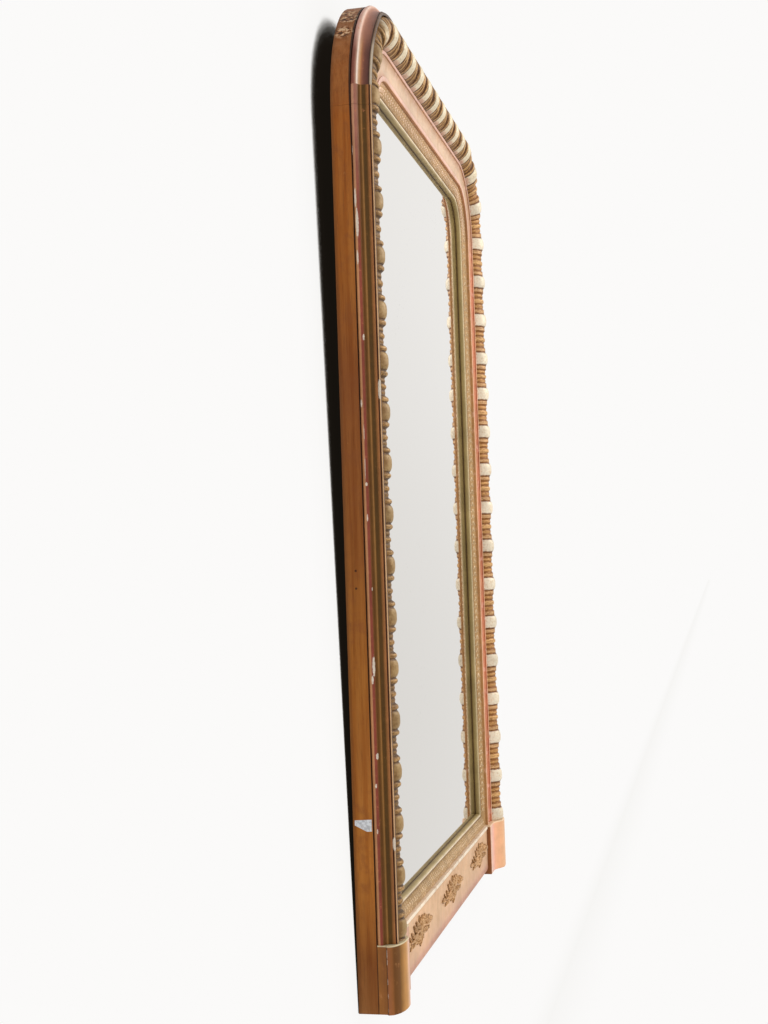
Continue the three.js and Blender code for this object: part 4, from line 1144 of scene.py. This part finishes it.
# painted shade: the far block's bands darken to brown at its inner end
far_foot = gilded("far plinth gilding", plinth_colours([
    (0.0, "#98602a"), (0.12, "#b07a50"), (0.2, "#d8a078"), (0.34, "#e6b48c"), (0.5, "#ecb88c"),
    (0.6, "#eeb488"), (0.68, "#f0b48c"), (0.74, "#eeae92"), (0.8, "#ecb6a4"), (0.93, "#f0c8b4"),
    (0.965, "#d8a080"), (0.975, "#a4683c"), (1.0, "#7c4824")], "#efd0ac"),
    "#e0a47c", "#6a3c1c", "#f2e6d4", 0.25, 0.08, 60.0)
foot_chips = [(80, 13, 0.13, 0.006), (69, 8, 0.13, 0.006), (43, 9, 0.132, 0.007),
              (37, 5, 0.14, 0.008), (25, 7, 0.135, 0.01), (6, 8, 0.14, 0.012)]
edge_softness = 0.5
for side, way, gold in [("left", 1, near_foot), ("right", -1, far_foot)]:
    z = np.linspace(0, plinth_height, 72)[:, None]
    edge_in = np.clip(np.minimum(z, plinth_height - z) / 0.7, 0, 1)
    soft = (1 - np.sqrt(1 - (1 - edge_in) ** 2)) * edge_softness
    depth = plinth_outline[:, 1] - soft * (plinth_outline[:, 1] > face_depth + 1)
    piece = solid_of_rings(f"plinth_block_{side}", way * (plinth_outline[:, 0] - half_width),
                           depth, z, plinth_outline[:, 2], z[:, 0])
    marked(piece, "bare",
           chipped_value(z, plinth_outline[None, :, 2], foot_chips if way > 0 else []))
    risen(piece, plinth_outline, [0, 0.1, 0.12, 0.14, 0.3, 0.5, 0.76, 0.97, 1],
          [0.6, 0.6, 0.0, 0.8, 0.8, 0.7, 0.6, 0.6, 0.3])
    finished(piece, f"plinth_{side}", gold)


# --- Frieze board ---------------------------------------------------------------------
# A flat board between the plinths with a fillet along its top edge and a rounded lower
# edge, gilded over rosy bole.
frieze_front = face_depth + 11.3
frieze_end = half_width - plinth_width - glue
frieze_profile = refined(np.concatenate([
    [[3, face_depth, 0.0]],
    round_points((13, frieze_front - 10), (10, 10), 180, 90, 10, 0.04, 0.2),
    [[plinth_height - 5.5, frieze_front, 0.86],
     [plinth_height - 5.5, frieze_front + 1.2, 0.88],
     [plinth_height - 5.1, frieze_front + 1.6, 0.89],
     [plinth_height - 0.4, frieze_front + 1.6, 0.97],
     [plinth_height, frieze_front + 1.2, 0.98], [plinth_height, face_depth, 1.0]]]), 2.0)


def frieze_colours(tree, place, across, rise):
    # painted highlight: the cream along the fillet at the top edge
    face = ramp(tree, across, [
        (0.0, "#6a3c2a"), (0.05, "#a87260"), (0.1, "#be8a76"), (0.15, "#c89680"),
        (0.18, "#c08a70"), (0.23, "#c8947c"), (0.29, "#d8ac8a"), (0.5, "#e2b88e"),
        (0.83, "#e0b48a"), (0.865, "#b08460"), (0.89, "#f0dec4"), (0.97, "#f4e6d0"),
        (1.0, "#d8b494")])
    blotch = noise(tree, place, 42.0, 5.0, 0.65)
    warm = dabbed(tree, face, "#cc9c6e", blotch, 0.5, 0.64, 0.4)
    return dabbed(tree, warm, "#e2bea0", blotch, 0.45, 0.32, 0.4)


frieze_gold = gilded("frieze gilding", frieze_colours, "#c69474", "#7a5230", "#efe4d2",
                     0.25, 0.1, 50.0)
x = np.linspace(-frieze_end, frieze_end, 200)
piece = solid_of_rings("frieze", x[:, None], frieze_profile[:, 1], frieze_profile[:, 0],
                       frieze_profile[:, 2], x + frieze_end)
risen(piece, frieze_profile, [0, 0.1, 0.2, 0.84, 0.87, 0.9, 1],
      [0.2, 0.7, 0.5, 0.5, 0.05, 0.9, 0.5])
finished(piece, "frieze_board", frieze_gold)


# --- Sprays on the frieze -------------------------------------------------------------
# Three applied sprays: a rosette with a leaf above and below, and to each side a swaying
# stem with four pairs of curled leaves and a bud. Worn gilding, dark in the hollows.
spray_gap = 84
spray_margin = 7
spray_length = (2 * frieze_end - 2 * spray_margin - 2 * spray_gap) / 3
stem_height = foot_top - 35
spray_relief = 5.5
bud_length = 22
leaf_length = 25
leaf_breadth = 10.5


def veined_leaf(base, heading, bow, length, breadth, height, rings=11):
    """A leaf with a grooved midrib, lobed edges and a curl, raised on z = 0 and closed."""
    section = [(-1, 0), (-0.82, 0.42), (-0.45, 0.95), (-0.14, 0.8), (0, 0.5), (0.14, 0.8),
               (0.45, 0.95), (0.82, 0.42), (1, 0)]
    points = []
    for ring in range(rings):
        share = ring / (rings - 1)
        wide = np.interp(share, [0, 0.35, 0.72, 1], [0.35, 1, 0.72, 0.08]) * breadth / 2
        wide *= 1 + 0.16 * math.cos(share * 5 * math.pi) * (share > 0.12)
        high = height * np.interp(share, [0, 0.35, 0.72, 1], [0.6, 1, 0.75, 0.3])
        angle = heading + bow * share
        x = base[0] + length / bow * (math.sin(angle) - math.sin(heading))
        y = base[1] - length / bow * (math.cos(angle) - math.cos(heading))
        for sideways, up_by in section:
            points.append((x + math.sin(angle) * wide * sideways,
                           y - math.cos(angle) * wide * sideways, high * up_by))
    return ringed(points, rings, turned=True)


def stem_piece(line, widths, height):
    """A rounded stem along a line of points, on z = 0."""
    section = [(-1, 0), (-0.7, 0.7), (0, 1), (0.7, 0.7), (1, 0)]
    return ringed([(x, y - wide * sideways, height * up_by)
                   for (x, y), wide in zip(line, widths) for sideways, up_by in section],
                  len(line))


def rosette_piece(radius, height, petals=8, rings=6, steps=48):
    """A round flower with lobed petals and a raised eye, on z = 0."""
    points = [(0, 0, height)]
    for ring in range(1, rings + 1):
        share = ring / rings
        for step in range(steps):
            angle = 2 * math.pi * step / steps
            notch = share * (0.5 - 0.5 * math.cos(petals * angle))
            level = np.interp(share, [0, 0.3, 0.4, 0.7, 0.9, 1], [1, 0.95, 0.6, 0.85, 0.7, 0])
            level *= 1 - 0.2 * notch
            reach = radius * share * (1 - 0.14 * notch)
            points.append((reach * math.cos(angle), reach * math.sin(angle), height * level))
    eye = [(0, 1 + i, 1 + (i + 1) % steps) for i in range(steps)]
    under = tuple(range(len(points) - steps, len(points)))[::-1]
    return points, eye + ring_sides(rings, steps, 1) + [under]


def half_spray():
    """A swaying stem with four pairs of curled leaves, that get smaller, and a bud."""
    stem = spray_length / 2 - bud_length
    sway = 3

    def line_at(share):
        return stem * share, sway * math.sin(2 * math.pi * share)

    shares = np.linspace(0, 1, 25)
    parts = [
        stem_piece([line_at(v) for v in shares], 2.5 * (1 - 0.5 * shares), spray_relief * 0.75),
        veined_leaf((stem - 2, 0), math.radians(-8), math.radians(16), bud_length + 1,
                    leaf_breadth * 0.8, spray_relief * 0.8)]
    for i in range(4):
        size = 1 - 0.13 * i
        for way in (-1, 1):
            share = (i + (0.45 if way > 0 else 0.2)) / 4
            parts.append(veined_leaf(line_at(share), way * math.radians(66),
                                     -way * math.radians(52), leaf_length * size,
                                     leaf_breadth * size, spray_relief * size * 0.98))
    return gathered(parts)


half_points, half_faces = half_spray()
other_points = [(-x, y, z) for x, y, z in half_points]
other_faces = [face[::-1] for face in half_faces]
crest = [veined_leaf((-0.5, 0), way * math.radians(86), way * math.radians(8),
                     leaf_length * 0.9, leaf_breadth, spray_relief * 0.98) for way in (-1, 1)]
spray_points, spray_faces = gathered([
    rosette_piece(9.5, spray_relief), *crest, (half_points, half_faces),
    (other_points, other_faces)])


def spray_colours(tree, place, across, rise):
    patches = noise(tree, place, 260.0, 4.0, 0.6)
    high = dabbed(tree, colour("#dcb284"), "#ac7c46", patches, 0.42, 0.62)
    pits = noise(tree, place, 520.0, 3.0, 0.7)
    speckled = dabbed(tree, high, "#7a5024", pits, 0.57, 0.63, 0.7)
    return dabbed(tree, speckled, "#805628", rise, 0.4, 0.1, 0.75)


spray_gold = gilded("spray gilding", spray_colours, "#c89868", "#5a3818", "#e6d6bd",
                    0.25, 0.16, 200.0)
for side, way in [("left", -1), ("middle", 0), ("right", 1)]:
    shifted = [((x + way * (spray_length + spray_gap)) * 0.001,
                (-frieze_front - glue - z) * 0.001,
                (stem_height + y - case_height / 2) * 0.001) for x, y, z in spray_points]
    piece = loose_object(f"spray_{side}", shifted, spray_faces)
    marked(piece, "rise", [z / spray_relief for _, _, z in spray_points])
    finished(piece, f"frieze_spray_{side}", spray_gold, 40)


# --- Mirror glass ---------------------------------------------------------------------
# Flat silvered glass, clean except for a few foxed specks in patches.
glass, tree, skin, place = new_material("silvered glass")
speck = noise(tree, place, 260.0, 2.0, 0.5)
cloud = noise(tree, place, 5.0, 3.0, 0.5)
fox = sums(tree, "MULTIPLY", stepped(tree, speck, 0.68, 0.72), stepped(tree, cloud, 0.52, 0.66))
silver = dabbed(tree, colour("#e6e4e0"), "#cecbc5", axes(tree, place)["Z"], 0.5, -0.4)
into(tree, covered(tree, silver, "#8a8378", fox, 0.5), skin.inputs["Base Color"])
skin.inputs["Metallic"].default_value = 1.0
skin.inputs["Roughness"].default_value = 0.02
dress(["mirror_glass"], glass)


# --- Wedges and backboards ------------------------------------------------------------
# Bare pine that has darkened with age. The boards run across and are nailed at their ends;
# the nail heads lie flush, with a rust stain round each.
pine, tree, skin, place = new_material("bare pine")
across_grain = add(tree, "ShaderNodeMapping",
                   {"Vector": place, "Rotation": (0, math.pi / 2, 0)}).outputs[0]
grain = use(tree, "wood grain", {"Vector": across_grain, "Fineness": 0.7})
tone = dabbed(tree, colour("#c39a66"), "#8f6638", grain["Streaks"], 0.32, 0.72)
aged = dabbed(tree, tone, "#7a5530", grain["Tone"], 0.35, 0.7, 0.5)
part = axes(tree, place)
nail_row = 0.382
nail_pitch = 0.075
from_row = sums(tree, "SUBTRACT", sums(tree, "ABSOLUTE", part["X"]), nail_row)
# 5 m more keep the height above 0, so that the remainder runs on evenly
along_row = sums(tree, "MODULO", sums(tree, "ADD", part["Z"], 5.0), nail_pitch)
from_middle = sums(tree, "SUBTRACT", along_row, nail_pitch / 2)
squares = [sums(tree, "MULTIPLY", away, away) for away in (from_row, from_middle)]
from_nail = sums(tree, "SQRT", sums(tree, "ADD", *squares))
rusty = dabbed(tree, aged, "#4a2c18", from_nail, 0.008, 0.002, 0.7)
head = stepped(tree, from_nail, 0.0027, 0.0023)
into(tree, mixed(tree, head, rusty, colour("#3a3532")), skin.inputs["Base Color"])
into(tree, sums(tree, "MULTIPLY", head, 0.8), skin.inputs["Metallic"])
skin.inputs["Roughness"].default_value = 0.7
bumped(tree, skin, grain["Streaks"], 0.4, 0.0006)
dress([name for name in cad_nodes if name.startswith(("glass_wedge", "backboard"))], pine)


# --- Hangers --------------------------------------------------------------------------
# Steel straps, rings and screws, dull grey with a little rust.
steel, tree, skin, place = new_material("dull steel")
spots = noise(tree, place, 190.0, 5.0, 0.65)
rusted = stepped(tree, spots, 0.55, 0.66)
into(tree, mixed(tree, rusted, colour("#8b8883"), colour("#5c3620")), skin.inputs["Base Color"])
into(tree, stepped(tree, rusted, 0.0, 1.0, 0.9, 0.1), skin.inputs["Metallic"])
into(tree, stepped(tree, rusted, 0.0, 1.0, 0.38, 0.75), skin.inputs["Roughness"])
dress([name for name in cad_nodes if name.startswith("hanger_")], steel)


# --- Stage and light ------------------------------------------------------------------
# A white wall close behind the mirror and a white floor far below it. The mirror's foot
# almost touches the wall and its top stands 33 mm off, and in the gap between them
# the wall's glow is painted dark: painted shade.
def direct_rays(tree, ray):
    """1 for what the camera sees straight, in the glass or through something clear."""
    sharp = sums(tree, "MAXIMUM", ray["Is Camera Ray"], ray["Is Glossy Ray"])
    return sums(tree, "MAXIMUM", sharp, ray["Is Transmission Ray"])


def either(tree, choice, first, second):
    """Two surfaces, chosen by a value."""
    node = tree.nodes.new("ShaderNodeMixShader")
    for value, socket in zip((choice, first, second), node.inputs):
        into(tree, value, socket)
    return node.outputs[0]


def white_paint(name):
    """White to the eye and in the glass, with painted shade where something stands close to
    it: the glow darkens there. It can't be seen from behind, and it lets lamps shine through."""
    material, tree, skin, _ = new_material(name)
    skin.inputs["Base Color"].default_value = (0.85, 0.85, 0.85, 1)
    skin.inputs["Roughness"].default_value = 0.9
    hidden = add(tree, "ShaderNodeAmbientOcclusion", {"Distance": 0.12}, samples=16)
    # painted shade: the glow goes dark where the sky is shut off close by, as in the gap behind
    # the mirror
    tone = ramp(tree, hidden.outputs["AO"], [
        (0.0, "#14110d"), (0.3, "#1c1712"), (0.38, "#8e8a84"), (0.44, "#f6f5f3"),
        (1.0, "#fbfaf9")])
    glow = add(tree, "ShaderNodeEmission", {"Color": tone, "Strength": 1.0})
    ray = add(tree, "ShaderNodeLightPath").outputs
    seen = either(tree, direct_rays(tree, ray), skin.outputs[0], glow.outputs[0])
    clear = add(tree, "ShaderNodeBsdfTransparent").outputs[0]
    behind = add(tree, "ShaderNodeNewGeometry").outputs["Backfacing"]
    open_side = sums(tree, "MAXIMUM", behind, ray["Is Shadow Ray"])
    into(tree, either(tree, open_side, seen, clear),
         tree.nodes["Material Output"].inputs["Surface"])
    return material


stage_left, stage_right, stage_front, stage_back = -6, 60, -6, 1
wall_low, wall_high = -1.3, 9.0
wall_at_foot, wall_at_top = 0.0008, 0.0335
lean = (wall_at_top - wall_at_foot) / case_height * 1000
wall_corners = [(x, wall_at_foot + lean * (z + case_height * 0.0005), z)
                for x, z in [(stage_left, wall_low), (stage_right, wall_low),
                             (stage_right, wall_high), (stage_left, wall_high)]]
floor_corners = [(x, y, wall_low) for x, y in [(stage_left, stage_front),
                 (stage_right, stage_front), (stage_right, stage_back),
                 (stage_left, stage_back)]]
wall = loose_object("wall", wall_corners, [(0, 1, 2, 3)])
wall.data.materials.append(white_paint("wall white"))
floor = loose_object("floor", floor_corners, [(0, 1, 2, 3)])
floor.data.materials.append(white_paint("floor white"))

world = bpy.data.worlds.new("room")
bpy.context.scene.world = world
world.use_nodes = True
tree = world.node_tree
direct = direct_rays(tree, add(tree, "ShaderNodeLightPath").outputs)
sky = tree.nodes["Background"]
sky.inputs["Color"].default_value = colour("#fbfaf9")
into(tree, sums(tree, "MAXIMUM", direct, 0.7), sky.inputs["Strength"])
world.cycles.sampling_method = "NONE"


def lamp(name, place, aim, size, power, tint):
    data = bpy.data.lights.new(name, "AREA")
    data.size = size
    data.energy = power
    data.color = tint
    made = bpy.data.objects.new(name, data)
    made.location = place
    made.rotation_euler = (Vector(aim) - Vector(place)).to_track_quat("-Z", "Y").to_euler()
    bpy.context.scene.collection.objects.link(made)


lamp("window", (1.2, -2.6, 1.3), (0.1, 0, 0.1), 1.2, 58, (1, 0.985, 0.96))
lamp("room", (-2.5, -1.9, 0.9), (-0.4, 0, 0), 1.4, 14, (1, 0.98, 0.95))
# this one lights the back, through the wall, and nothing that the photograph shows
lamp("behind", (0, 2.6, 0.1), (0, 0, 0), 0.5, 45, (1, 0.985, 0.96))
